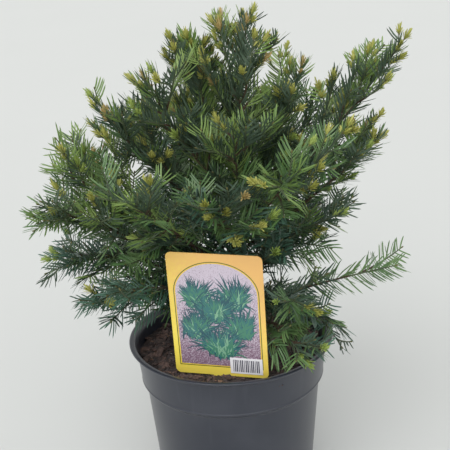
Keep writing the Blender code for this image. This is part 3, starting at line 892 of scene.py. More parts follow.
@dataclass(frozen=True)
class Blade:
    """The shape of a needle: nearly even in width, flat below, keeled above, with a narrow foot and a short tip."""

    stations: tuple[float, ...] = (0.0, 0.10, 0.50, 0.86)
    widths: tuple[float, ...] = (0.35, 0.90, 1.0, 0.82)
    keel: float = 0.26

    def template(self) -> tuple[np.ndarray, np.ndarray, np.ndarray, np.ndarray, np.ndarray]:
        """Work out one needle in its own axes.

        Returns:
            How far along each corner lies, how far across and how far up in half
            widths, the triangles, and each triangle's kind: 0 above and 1 below.
        """
        along = np.append(np.repeat(self.stations, 3), 1.0)
        across = np.append((np.array(self.widths)[:, None] * (-1, 0, 1)).ravel(), 0.0)
        up = np.append(np.tile((0, self.keel, 0), len(self.stations)), 0.0)
        faces, kinds = [(0, 1, 2)], [0]
        last = 3 * (len(self.stations) - 1)
        for low in range(0, last + 1, 3):
            for side in range(3):
                here, after = low + side, low + (side + 1) % 3
                made = [(here, last + 3, after)] if low == last else [(here, here + 3, after + 3), (here, after + 3, after)]
                faces += made
                kinds += [side // 2] * len(made)
        return along, across, up, np.array(faces), np.array(kinds)

    def copies(self, roots: np.ndarray, ways: np.ndarray, tops: np.ndarray, bends: np.ndarray,
               lengths: np.ndarray, width: float) -> np.ndarray:
        """Place many needles.

        Args:
            roots: Where each needle starts.
            ways: The direction of each, as a unit vector.
            tops: The direction that its upper side faces, roughly.
            bends: How far its tip is bent aside, as shares of its length.
            lengths: The length of each.
            width: Their width.

        Returns:
            The corners, as an array of needles, corners and axes.
        """
        along, across, up = self.template()[:3]
        tops = unit(tops - ways * np.sum(tops * ways, axis=1, keepdims=True))
        beside = np.cross(tops, ways)
        forward = lengths[:, None, None] * (along[:, None] * ways[:, None] + along[:, None] ** 2 * bends[:, None])
        aside = across[:, None] * beside[:, None] + up[:, None] * tops[:, None]
        return roots[:, None] + forward + width / 2 * aside


@dataclass
class Crown:
    """The foliage: every leading shoot, its forks down to the finest twigs, and what they carry."""

    room: Room = field(default_factory=Room)
    shoots: list[Shoot] = field(default_factory=list)
    step: float = 0.004
    needle_gap: float = 0.00130
    needle_width: float = 0.00150
    lead_vigour: float = 0.80
    side_vigour: float = 0.78
    soft_width: float = 0.00125
    side_flatness: float = 0.68
    twig_flatness: float = 0.80
    comb_roll: float = 0.55
    lead_fork_gap: float = 0.0095
    side_fork_gap: float = 0.0090
    bough_fork_gap: float = 0.0058
    stem_fork_gap: float = 0.0052
    rise_low: float = -0.2
    rise_high: float = 0.4
    fork_angle: float = math.radians(45)
    wander: float = 0.05
    twig_sides: int = 5
    seed: int = 7

    def deal_tint(self, limb: Limb, tip: np.ndarray, chance: random.Random) -> NeedleTint:
        """Deal a tint to a spray: paler on fresher limbs, paler at the outside, partly for fresher growth and partly as
        painted shade on the inner sprays, and paler towards the top as painted light.

        Args:
            limb: The spray's limb.
            tip: The spray's tip.
            chance: The source of chance.

        Returns:
            The tint.
        """
        outness = min(1.0, math.hypot(tip[0], tip[1]) / 0.16)
        height = min(1.0, max(0.0, (tip[2] - 0.2) / 0.2))
        # Painted light and shade: the height terms make sprays near the top paler, as if lit from above, and low
        # outness leaves the inner sprays darker, as if shaded.
        paleness_with_painted_light = limb.fresh * (0.35 + 0.5 * outness + 0.5 * height) + 0.29 * height ** 2 + chance.gauss(0, 0.15)
        for least, tint in ((0.82, NeedleTint.PALE), (0.54, NeedleTint.FRESH), (0.26, NeedleTint.GRASS)):
            if paleness_with_painted_light > least:
                return tint
        bluish = 1.2 * outness * (1 - 0.6 * height)
        return NeedleTint.BLUISH if chance.random() < bluish else NeedleTint.DEEP

    def deal_tuft(self, owner: int, order: int, tip: np.ndarray, chance: random.Random) -> TuftTint | None:
        """Deal new growth to a shoot's tip: on the outside and the top, and amber where it is highest.

        Args:
            owner: The number of the limb.
            order: The shoot's place in the branching.
            tip: The shoot's tip.
            chance: The source of chance.

        Returns:
            The tint of the new growth, or None for a resting bud.
        """
        height = (tip[2] - 0.18) / 0.29
        outness = np.linalg.norm(tip - self.room.feet[owner]) / self.room.reach[owner]
        likely = (0.02 + 0.20 * height + 0.75 * height ** 3) * min(1.0, max(0.0, outness - 0.15) * 2.0) + (0.25 if order == 0 else 0.0)
        if chance.random() > likely:
            return None
        amber = height - 0.45 + chance.gauss(0, 0.22)
        if amber > 0.52:
            return TuftTint.AMBER
        return TuftTint.YELLOW if amber > 0.0 else TuftTint.LIME

    def add_shoot(self, owner: int, order: int, line: np.ndarray, flatness: float, vigour: float,
                  chance: random.Random) -> Shoot:
        """Give a line its tints and add it as a shoot.

        Args:
            owner: The number of the limb.
            order: The shoot's place in the branching.
            line: Its middle line.
            flatness: How far its needles spread to two sides.
            vigour: The size of its needles, as a share of the full size.
            chance: The source of chance.

        Returns:
            The shoot.
        """
        tint = self.deal_tint((*LIMBS, TOP)[owner], line[-1], chance)
        tuft = self.deal_tuft(owner, order, line[-1], chance)
        made = Shoot(owner, order, line, flatness, vigour, tint, tuft)
        self.shoots.append(made)
        return made

    def source_line(self, owner: int, start: np.ndarray, heading: np.ndarray, length: float) -> np.ndarray | None:
        """Grow a side shoot's line just as the solids were grown.

        Args:
            owner: The number of the limb.
            start: Where it leaves the leading shoot.
            heading: The direction in which it leaves.
            length: Its full length.

        Returns:
            The line, smoothed, or None if it has no room.
        """
        pitch = HABIT.needle_pitch
        line = [start]
        for step in range(round(length / pitch)):
            heading = unit(heading + UP * HABIT.upturn * pitch / length)
            after = line[-1] + heading * pitch
            between = np.linspace(line[-1], after, 4)
            if not (self.room.owned(owner, between) and self.room.off_pot(between).all()):
                break
            if step > 0 and not self.room.off_wood(between).all():
                break
            line.append(after)
        return even_line(np.array(line), self.step) if len(line) > HABIT.shortest else None

    def grow_line(self, owner: int, start: np.ndarray, heading: np.ndarray, length: float,
                  chance: random.Random) -> np.ndarray | None:
        """Grow a finer twig's line within its limb's reach.

        Args:
            owner: The number of the limb.
            start: Where it leaves its parent.
            heading: The direction in which it leaves.
            length: Its full length.
            chance: The source of chance.

        Returns:
            The line, or None if it has no room.
        """
        line = [start]
        for step in range(round(length / self.step)):
            play = np.array([chance.gauss(0, self.wander) for _ in range(3)])
            heading = unit(heading + UP * HABIT.upturn * self.step / length + play)
            after = line[-1] + heading * self.step
            if not (self.room.reached(owner, after) and self.room.off_pot(after)):
                break
            if step > 1 and not self.room.off_wood(after):
                break
            line.append(after)
        return np.array(line) if len(line) > 3 else None

    def fork(self, parent: np.ndarray, station: int, roll: float, angle: float) -> tuple[np.ndarray, np.ndarray]:
        """Return where a twig leaves its parent's line, and its heading.

        Args:
            parent: The parent's middle line.
            station: The point of the line at which the twig leaves.
            roll: How far it is rolled round the parent from its level side.
            angle: The angle between the two.

        Returns:
            The start and the heading.
        """
        along = unit(parent[min(station + 1, len(parent) - 1)] - parent[max(station - 1, 0)])
        beside, above = sides_of(along)
        outward = math.cos(roll) * beside + math.sin(roll) * above
        return parent[station], math.cos(angle) * along + math.sin(angle) * outward

    def add_forks(self, parent: Shoot, gap: float, first: float, longest: float,
                  chance: random.Random) -> list[Shoot]:
        """Add twigs along a shoot, to its two sides by turns.

        Args:
            parent: The shoot that carries them.
            gap: The distance from one to the next.
            first: The share of the shoot at which they start.
            longest: The length of the longest.
            chance: The source of chance.

        Returns:
            The new shoots.
        """
        made = []
        scale = (*LIMBS, TOP)[parent.owner].forks
        count = int(parent.length * (0.9 - first) / gap) if scale else 0
        for index in range(count):
            share = first + (0.9 - first) * (index + chance.uniform(0.1, 0.9)) / count
            station = min(len(parent.line) - 2, round(share * (len(parent.line) - 1)))
            roll = math.pi * index + chance.gauss(0, 0.3 + 0.9 * (1 - parent.flatness))
            start, heading = self.fork(parent.line, station, roll, self.fork_angle * chance.uniform(0.85, 1.15))
            length = scale * min(longest, parent.length * (1 - share) * 0.6 + 0.012) * chance.uniform(0.7, 1.1)
            line = self.grow_line(parent.owner, start, heading, max(length, 0.014), chance)
            if line is not None:
                vigour = min(0.78, 0.56 + 6 * length)
                made.append(self.add_shoot(parent.owner, parent.order + 1, line, self.twig_flatness, vigour, chance))
        return made

    def add_inner(self, owner: int, wood: np.ndarray, gap: float, longest: float, chance: random.Random) -> None:
        """Add the short twigs that leave a stretch of wood all round.

        Args:
            owner: The number of the limb.
            wood: The middle line of the wood.
            gap: The distance from one twig to the next.
            longest: The length of the longest.
            chance: The source of chance.
        """
        wood = even_line(wood, self.step)
        count = int(len(wood) * self.step / gap)
        turn = chance.uniform(0, math.tau)
        for index in range(count):
            station = int((index + chance.uniform(0.1, 0.9)) / count * (len(wood) - 1))
            start, heading = self.fork(wood, station, turn + GOLDEN_TURN * index, chance.uniform(0.75, 1.1))
            length = longest * chance.uniform(0.55, 1.0) * ((*LIMBS, TOP)[owner].forks + 1) / 2
            line = self.grow_line(owner, start, heading, length, chance)
            if line is not None:
                twig = self.add_shoot(owner, 2, line, 0.5, 0.74, chance)
                self.add_forks(twig, 0.018, 0.3, 0.022, chance)

    def add_sprigs(self, owner: int, limb: Limb, chance: random.Random) -> None:
        """Add the finer shoots that show in the limb's outline.

        Args:
            owner: The number of the limb.
            limb: The limb.
            chance: The source of chance.
        """
        for sprig in SPRIGS:
            if sprig.limb != limb.name:
                continue
            start = HABIT.limb_point(limb, sprig.share)
            end = np.array(sprig.tip)
            middle = (start + end) / 2 + UP * sprig.arch * np.linalg.norm(end - start) * 2
            shares = np.linspace(0, 1, 12)[:, None]
            line = even_line((1 - shares) ** 2 * start + 2 * shares * (1 - shares) * middle + shares ** 2 * end, self.step)
            blocked = np.flatnonzero(~self.room.off_pot(line) | (~self.room.off_wood(line) & (np.arange(len(line)) > 2)))
            line = line[:blocked[0]] if len(blocked) else line
            if len(line) > 6:
                twig = self.add_shoot(owner, 1, line, 0.65, 0.76, chance)
                self.add_forks(twig, 0.014, 0.3, 0.026, chance)

    def grow_limb(self, owner: int, limb: Limb) -> None:
        """Grow one limb's shoots by the source's rule, and the finer ones on them.

        Args:
            owner: The number of the limb.
            limb: The limb.
        """
        chance = random.Random(self.seed + owner)
        lead = HABIT.lead_line(limb)
        heading = unit(lead[-1] - lead[0])
        beside, above = sides_of(heading)
        flatness = HABIT.lead_flatness * (1 - min(1.0, abs(heading[2]) / HABIT.upright))
        leader = self.add_shoot(owner, 0, even_line(lead, self.step), flatness, self.lead_vigour, chance)
        for share, roll, length in HABIT.side_plan(owner, limb):
            station = int(share * (len(lead) - 1))
            place = lead[station] + (lead[station + 1] - lead[station]) * HABIT.fork_place
            outward = math.cos(roll) * beside + math.sin(roll) * above
            way = math.cos(HABIT.side_angle) * heading + math.sin(HABIT.side_angle) * outward
            line = self.source_line(owner, place, way, length * limb.trim)
            if line is not None:
                side = self.add_shoot(owner, 1, line, self.side_flatness, self.side_vigour, chance)
                self.add_forks(side, self.side_fork_gap, 0.18, 0.030, chance)
        for twig in self.add_forks(leader, self.lead_fork_gap, 0.05, 0.046, chance):
            self.add_forks(twig, 0.016, 0.3, 0.022, chance)
        self.add_sprigs(owner, limb, chance)
        if limb is not TOP:
            shares = np.linspace(0.2, HABIT.bough_share(limb), 12)
            wood = np.array([HABIT.limb_point(limb, share) for share in shares])
            self.add_inner(owner, wood, self.bough_fork_gap, 0.068, chance)

    def grow(self) -> None:
        """Grow the whole crown."""
        for owner, limb in enumerate((*LIMBS, TOP)):
            self.grow_limb(owner, limb)
        stem = np.array([HABIT.stem_point(share) for share in np.linspace(0.25, 1, 20)])
        self.add_inner(len(LIMBS), stem, self.stem_fork_gap, 0.07, random.Random(self.seed - 1))
        LOG.info("%d shoots, %.1f m", len(self.shoots), sum(shoot.length for shoot in self.shoots))

    def needles(self, shoot: Shoot, blade: Blade, chance: np.random.Generator) -> np.ndarray:
        """Work out the needles of one shoot.

        Args:
            shoot: The shoot.
            blade: The needles' shape.
            chance: The source of chance.

        Returns:
            The corners, as an array of needles, corners and axes.
        """
        line = shoot.line
        reach = np.concatenate(([0.0], np.cumsum(np.linalg.norm(np.diff(line, axis=0), axis=1))))
        bare = 0.007 if shoot.order == 0 else 0.004
        count = max(2, int((reach[-1] - bare) / self.needle_gap))
        at = np.linspace(bare, reach[-1], count) + chance.uniform(-0.25, 0.25, count) * self.needle_gap
        share = np.clip(at / reach[-1], 0, 1)
        roots = np.stack([np.interp(at, reach, line[:, axis]) for axis in range(3)], 1)
        tangents = np.gradient(line, axis=0)
        along = unit(np.stack([np.interp(at, reach, tangents[:, axis]) for axis in range(3)], 1))
        level, upper = sides_of(unit(line[-1] - line[0]))
        roll = chance.normal(0, self.comb_roll)
        beside = math.cos(roll) * level + math.sin(roll) * upper
        beside = unit(beside - along * (along @ beside)[:, None])
        above = np.cross(beside, along)
        spread = (1 - shoot.flatness) * math.pi / 2
        angle = math.pi * (np.arange(count) % 2) + chance.uniform(-spread, spread, count)
        outward = np.cos(angle)[:, None] * beside + np.sin(angle)[:, None] * above
        lift = np.interp(line[-1][2], (0.22, 0.40), (self.rise_low, self.rise_high)) + chance.normal(0, 0.1)
        outward = unit(outward + lift * UP)
        sweep = HABIT.needle_sweep * chance.uniform(0.85, 1.15, count) + 0.32 * share ** 3
        ways = unit(np.cos(sweep)[:, None] * outward + np.sin(sweep)[:, None] * along)
        lengths = HABIT.needle_reach(share) * shoot.vigour * chance.uniform(0.86, 1.06, count)
        samples = roots[:, None] + (np.linspace(0.25, 1.0, 5) * lengths[:, None])[..., None] * ways[:, None]
        fits = (self.room.reached(shoot.owner, samples[:, -1]) & self.room.off_pot(samples).all(axis=1)
                & self.room.off_wood(samples).all(axis=1))
        keep = np.flatnonzero(fits)
        tops = shoot.flatness * above + (1 - shoot.flatness) * along + chance.normal(0, 0.22, (count, 3))
        bends = chance.normal(0.20, 0.07) * along + (0.35 * lift - 0.05 + chance.normal(0, 0.06)) * UP
        bends = bends + chance.normal(0, 0.03, (count, 3))
        return blade.copies(roots[keep], ways[keep], tops[keep], bends[keep], lengths[keep], self.needle_width)

    def tufts(self, shoot: Shoot, blade: Blade, chance: np.random.Generator) -> list[np.ndarray]:
        """Work out the soft brushes of new needles at a shoot's tip and just below it.

        Args:
            shoot: The shoot.
            blade: The needles' shape.
            chance: The source of chance.

        Returns:
            The corners of each brush, as an array of needles, corners and axes.
        """
        along = unit(unit(shoot.line[-1] - shoot.line[-2]) + 0.2 * UP)
        beside = sides_of(along)[0]
        made = [self.brush(shoot.line[-1], along, 1.0, blade, chance)]
        for side in (-1, 1):
            if shoot.order < 3 and len(shoot.line) > 4 and chance.random() < 0.55:
                way = unit(along + side * chance.uniform(0.6, 1.1) * beside + 0.2 * UP)
                made.append(self.brush(shoot.line[-3] + 0.001 * way, way, chance.uniform(0.6, 0.85), blade, chance))
        return [brush for brush in made if self.room.off_pot(brush).all()]

    def brush(self, root: np.ndarray, along: np.ndarray, size: float, blade: Blade,
              chance: np.random.Generator) -> np.ndarray:
        """Work out one brush of new needles.

        Args:
            root: Where it starts.
            along: The direction in which it points.
            size: Its size, as a share of a full one.
            blade: The needles' shape.
            chance: The source of chance.

        Returns:
            The corners, as an array of needles, corners and axes.
        """
        count = int(size * chance.integers(20, 27))
        beside, above = sides_of(along)
        order = np.arange(count) / count
        turn = GOLDEN_TURN * np.arange(count) + chance.uniform(0, math.tau)
        lean = 0.06 + 0.84 * order ** 0.8 + chance.normal(0, 0.08, count)
        outward = np.cos(turn)[:, None] * beside + np.sin(turn)[:, None] * above
        ways = unit(np.cos(lean)[:, None] * along + np.sin(lean)[:, None] * outward)
        roots = root + along * (0.0035 * size * (1 - order))[:, None] + outward * 0.0006
        lengths = size * (0.0090 - 0.0022 * order) * chance.uniform(0.8, 1.12, count) * chance.uniform(0.85, 1.15)
        bends = -0.12 * outward + 0.08 * chance.normal(0, 1, (count, 3))
        return blade.copies(roots, ways, -outward, bends, lengths, self.soft_width)

    def build(self) -> None:
        """Make the foliage's pieces: needles by tint, new growth by tint, twigs and buds."""
        blade = Blade()
        soft_blade = Blade((0.0, 0.45, 0.85), (0.55, 1.0, 0.8), 0.4)
        chance = np.random.default_rng(self.seed)
        needles: dict[NeedleTint, list[np.ndarray]] = {tint: [] for tint in NeedleTint}
        tufts: dict[TuftTint, list[np.ndarray]] = {tint: [] for tint in TuftTint}
        old_twigs, young_twigs, buds = Heap(), Heap(), Heap()
        for shoot in self.shoots:
            needles[shoot.tint].append(self.needles(shoot, blade, chance))
            if shoot.tuft:
                tufts[shoot.tuft] += self.tufts(shoot, soft_blade, chance)
            self.add_twig(shoot, old_twigs, young_twigs)
            self.add_bud(shoot, buds)
        for tint, copies in needles.items():
            self.pieces("needles_" + tint.name.lower(), blade, copies, (tint.finish(), UNDERSIDE))
        for tint, copies in tufts.items():
            self.pieces("new_growth_" + tint.name.lower(), soft_blade, copies, (tint.finish(), tint.finish()))
        self.stands_for_masses(young_twigs.piece("young_twigs", (YOUNG_TWIG,), "needles"))
        self.stands_for_masses(old_twigs.piece("old_twigs", (OLD_TWIG,), "bark"))
        self.stands_for_masses(buds.piece("buds", (BUD_SCALE,), "needles"))

    def pieces(self, name: str, blade: Blade, copies: list[np.ndarray], finishes: Sequence[Finish]) -> None:
        """Join needles into as few pieces as their triangles allow.

        Args:
            name: The pieces' name, to which a number is added.
            blade: The needles' shape.
            copies: The corners of each shoot's needles.
            finishes: The finish of the upper side and of the under side.
        """
        faces, kinds = blade.template()[3:]
        whole = np.concatenate(copies)
        share = math.ceil(len(whole) * len(faces) / MOST_TRIANGLES)
        for number, part in enumerate(np.array_split(whole, share)):
            heap = Heap()
            heap.add_copies(part, faces, kinds)
            self.stands_for_masses(heap.piece(f"{name}_{number + 1}", finishes, "needles"))

    def stands_for_masses(self, piece: bpy.types.Object) -> None:
        """Let a piece of the foliage replace the masses of the solids."""
        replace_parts(piece, *("mass_" + limb.name for limb in (*LIMBS, TOP)))

    def add_twig(self, shoot: Shoot, old: Heap, young: Heap) -> None:
        """Add a shoot's twig: woody towards its root and green towards its tip.

        Args:
            shoot: The shoot.
            old: Where the woody part goes.
            young: Where the green part goes.
        """
        count = len(shoot.line)
        thick = HABIT.twig_radius * (1.0, 0.85, 0.6, 0.5, 0.5)[min(shoot.order, 4)]
        radii = np.linspace(thick, HABIT.twig_tip_radius * 0.62, count)
        change = {0: int(0.6 * count), 1: int(0.35 * count)}.get(shoot.order, 0)
        if change > 1:
            points, faces, spots = tube(shoot.line[:change + 1], radii[:change + 1], self.twig_sides)
            old.add(points, faces, None, spots)
        if count - change > 2:
            points, faces, _ = tube(shoot.line[change:], radii[change:], self.twig_sides)
            young.add(points, faces)

    def add_bud(self, shoot: Shoot, buds: Heap) -> None:
        """Add the bud, or the bud scales under the new growth, at a shoot's tip."""
        along = unit(shoot.line[-1] - shoot.line[-2])
        profile = np.array((-0.001, 0.0003, 0.0014, 0.0024))
        radii = np.array((0.0004, 0.0008, 0.0008, 0.0003)) * (1.2 if shoot.tuft else 0.9)
        points, faces, _ = tube(shoot.line[-1] + profile[:, None] * along, radii, 6)
        if self.room.off_pot(points).all():
            buds.add(points, faces)


@dataclass
class Wood:
    """The stem and the boughs, with the bark's relief."""

    stem_sides: int = 40
    stem_step: float = 0.0014
    bough_sides: int = 14
    bough_step: float = 0.0018
    relief: float = 0.10
    collar: float = 0.0011
    collar_reach: float = 0.004
    sunk: float = 0.004

    def bark_radii(self, line: np.ndarray, radii: np.ndarray, sides: int, seed: float) -> np.ndarray:
        """Raise flakes and furrows on a limb.

        Args:
            line: The limb's middle line.
            radii: Its radius at each point.
            sides: Its number of sides.
            seed: A number that sets this limb's relief apart.

        Returns:
            The radius at each point and side.
        """
        reach = np.concatenate(([0.0], np.cumsum(np.linalg.norm(np.diff(line, axis=0), axis=1))))
        rough = np.empty((len(line), sides))
        for row, (far, radius) in enumerate(zip(reach, radii)):
            for side in range(sides):
                turn = math.tau * side / sides
                girth = 260 * radius
                spot = Vector((girth * math.cos(turn), girth * math.sin(turn) + seed, 70 * far))
                flakes = noise.noise(spot)
                fibres = noise.noise(Vector((spot.x * 3, spot.y * 3, spot.z * 1.2)))
                rough[row, side] = max(flakes, -0.25) + 0.4 * fibres
        return radii[:, None] * (1 + self.relief * rough)

    def build(self) -> list[bpy.types.Object]:
        """Make the stem and each bough as a piece of its own.

        Returns:
            The pieces.
        """
        count = round((HABIT.tip[2] - HABIT.foot[2]) / self.stem_step)
        shares = np.linspace(0, 1, count)
        line = np.array([HABIT.stem_point(share) for share in shares])
        radii = np.array([HABIT.stem_radius(share) for share in shares])
        below = line[0] - UP * self.sunk
        line = np.concatenate((below[None], line))
        radii = np.concatenate((radii[:1] * 1.08, radii))
        heap = Heap()
        points, faces, spots = tube(line, self.bark_radii(line, radii, self.stem_sides, 0.0), self.stem_sides)
        heap.add(points, faces, None, spots)
        stem = heap.piece("stem_bark", (BARK,), "bark", 60)
        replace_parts(stem, "stem")
        return [stem] + [self.bough(number, limb) for number, limb in enumerate(LIMBS)]

    def bough(self, number: int, limb: Limb) -> bpy.types.Object:
        """Make one bough, from inside the stem to the root of its leading shoot.

        Args:
            number: The number of the limb.
            limb: The limb.

        Returns:
            The piece.
        """
        share = HABIT.bough_share(limb)
        count = max(6, round(share * HABIT.limb_length(limb) / self.bough_step))
        steps = np.linspace(0, 1, count)
        line = np.array([HABIT.limb_point(limb, share * step) for step in steps])
        radii = np.array([HABIT.bough_radius(limb, step) for step in steps])
        reach = steps * share * HABIT.limb_length(limb)
        radii = radii + self.collar * np.exp(-np.maximum(reach - 0.004, 0) / self.collar_reach)
        heap = Heap()
        points, faces, spots = tube(line, self.bark_radii(line, radii, self.bough_sides, 7.0 * number), self.bough_sides)
        heap.add(points, faces, None, spots)
        piece = heap.piece("bark_" + limb.name, (BARK,), "bark", 60)
        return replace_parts(piece, "bough_" + limb.name)


@dataclass
class Pot:
    """The nursery pot, turned with soft corners, and its drain holes."""

    sides: int = 160
    foot_bevel: float = 0.002
    soft_corner: float = 0.0012
    lip_edge: float = 0.0012
    bead: float = 0.0005
    drain_count: int = 6
    drain_radius: float = 0.0045
    drain_circle: float = 0.058
    finish: PotFinish = PotFinish("pot plastic worn", 0.36, display(37, 41, 53), display(96, 99, 107))

    def profile(self) -> list[tuple[float, float]]:
        """Return the (radius, height) points of the wall, from under the floor to inside it."""
        pot = POT
        outside = [
            (pot.base_radius - self.foot_bevel, 0.0),
            (pot.base_radius, self.foot_bevel),
            (pot.body_radius, pot.body_top),
            (pot.ledge_radius + self.bead, pot.ledge_top - 0.0008),
            (pot.ledge_radius + self.bead, pot.ledge_top + 0.0002),
            (pot.ledge_radius + 0.0001, pot.ledge_top + 0.0010),
            (pot.collar_radius, pot.collar_top),
            (pot.lip_radius - self.lip_edge, pot.height - 2.2 * self.lip_edge),
            (pot.lip_radius, pot.height - 1.4 * self.lip_edge),
            (pot.lip_radius, pot.height - 0.5 * self.lip_edge),
            (pot.lip_radius - self.lip_edge, pot.height),
            (pot.collar_radius + 0.0014, pot.height - 0.0006),
        ]
        inside = [(pot.inner_radius(height), height)
                  for height in (pot.collar_top, pot.ledge_top, pot.body_top, pot.floor)]
        return self.softened(outside + inside)

    def softened(self, corners: list[tuple[float, float]]) -> list[tuple[float, float]]:
        """Round each inner corner of a profile with a short curve.

        Args:
            corners: The profile's points.

        Returns:
            The rounded profile's points.
        """
        made = [corners[0]]
        for before, corner, after in zip(corners, corners[1:], corners[2:]):
            here = np.array(corner)
            back = np.array(before) - here
            on = np.array(after) - here
            first = here + back * min(0.45, self.soft_corner / np.linalg.norm(back))
            last = here + on * min(0.45, self.soft_corner / np.linalg.norm(on))
            for share in (0.0, 0.33, 0.67, 1.0):
                spot = (1 - share) ** 2 * first + 2 * share * (1 - share) * here + share ** 2 * last
                made.append((float(spot[0]), float(spot[1])))
        return made + [corners[-1]]

    def build(self) -> bpy.types.Object:
        """Turn the pot and cut its drain holes.

        Returns:
            The piece, which stands for the pot's solid.
        """
        points, faces = lathe(self.profile(), self.sides, 0.0, POT.floor)
        mesh = bpy.data.meshes.new("pot_shell")
        mesh.from_pydata(points.tolist(), [], faces.tolist())
        shell = bpy.data.objects.new("pot_shell", mesh)
        bpy.context.scene.collection.objects.link(shell)
        cutters = bmesh.new()
        for hole in range(self.drain_count):
            angle = math.tau * hole / self.drain_count
            spot = (self.drain_circle * math.cos(angle), self.drain_circle * math.sin(angle), 0)
            bmesh.ops.create_cone(cutters, cap_ends=True, segments=28, radius1=self.drain_radius,
                                  radius2=self.drain_radius, depth=4 * POT.floor, matrix=Matrix.Translation(spot))
        drills = bpy.data.meshes.new("drills")
        cutters.to_mesh(drills)
        cutters.free()
        drill = bpy.data.objects.new("drills", drills)
        bpy.context.scene.collection.objects.link(drill)
        cut = shell.modifiers.new("cut", "BOOLEAN")
        cut.object = drill
        bpy.context.view_layer.update()
        done = bpy.data.meshes.new_from_object(shell.evaluated_get(bpy.context.evaluated_depsgraph_get()))
        bpy.data.objects.remove(shell)
        bpy.data.objects.remove(drill)
        done.materials.clear()
        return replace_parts(as_piece("nursery_pot", done, (self.finish,), 50), "pot")


def lathe(profile: list[tuple[float, float]], sides: int, low: float, high: float) -> tuple[np.ndarray, np.ndarray]:
    """Turn a profile about the Z axis and close it at both ends.

    Args:
        profile: The (radius, height) points.
        sides: The number of sides.
        low: The height of the middle of the first end.
        high: The height of the middle of the last end.

    Returns:
        The corners and the triangles.
    """
    turns = math.tau * np.arange(sides) / sides
    spots = np.array(profile)
    rings = np.stack((spots[:, :1] * np.cos(turns), spots[:, :1] * np.sin(turns),
                      np.broadcast_to(spots[:, 1:], (len(spots), sides))), 2)
    points = np.concatenate((rings.reshape(-1, 3), ((0, 0, low), (0, 0, high))))
    row = np.arange(len(spots) - 1)[:, None] * sides
    here = (row + np.arange(sides)).ravel()
    after = (row + (np.arange(sides) + 1) % sides).ravel()
    ring = np.arange(sides)
    ring_after = (ring + 1) % sides
    last = (len(spots) - 1) * sides
    faces = np.concatenate((
        np.stack((here, after, after + sides), 1),
        np.stack((here, after + sides, here + sides), 1),
        np.stack((ring_after, ring, np.full(sides, len(points) - 2)), 1),
        np.stack((last + ring, last + ring_after, np.full(sides, len(points) - 1)), 1),
    ))
    return points, faces


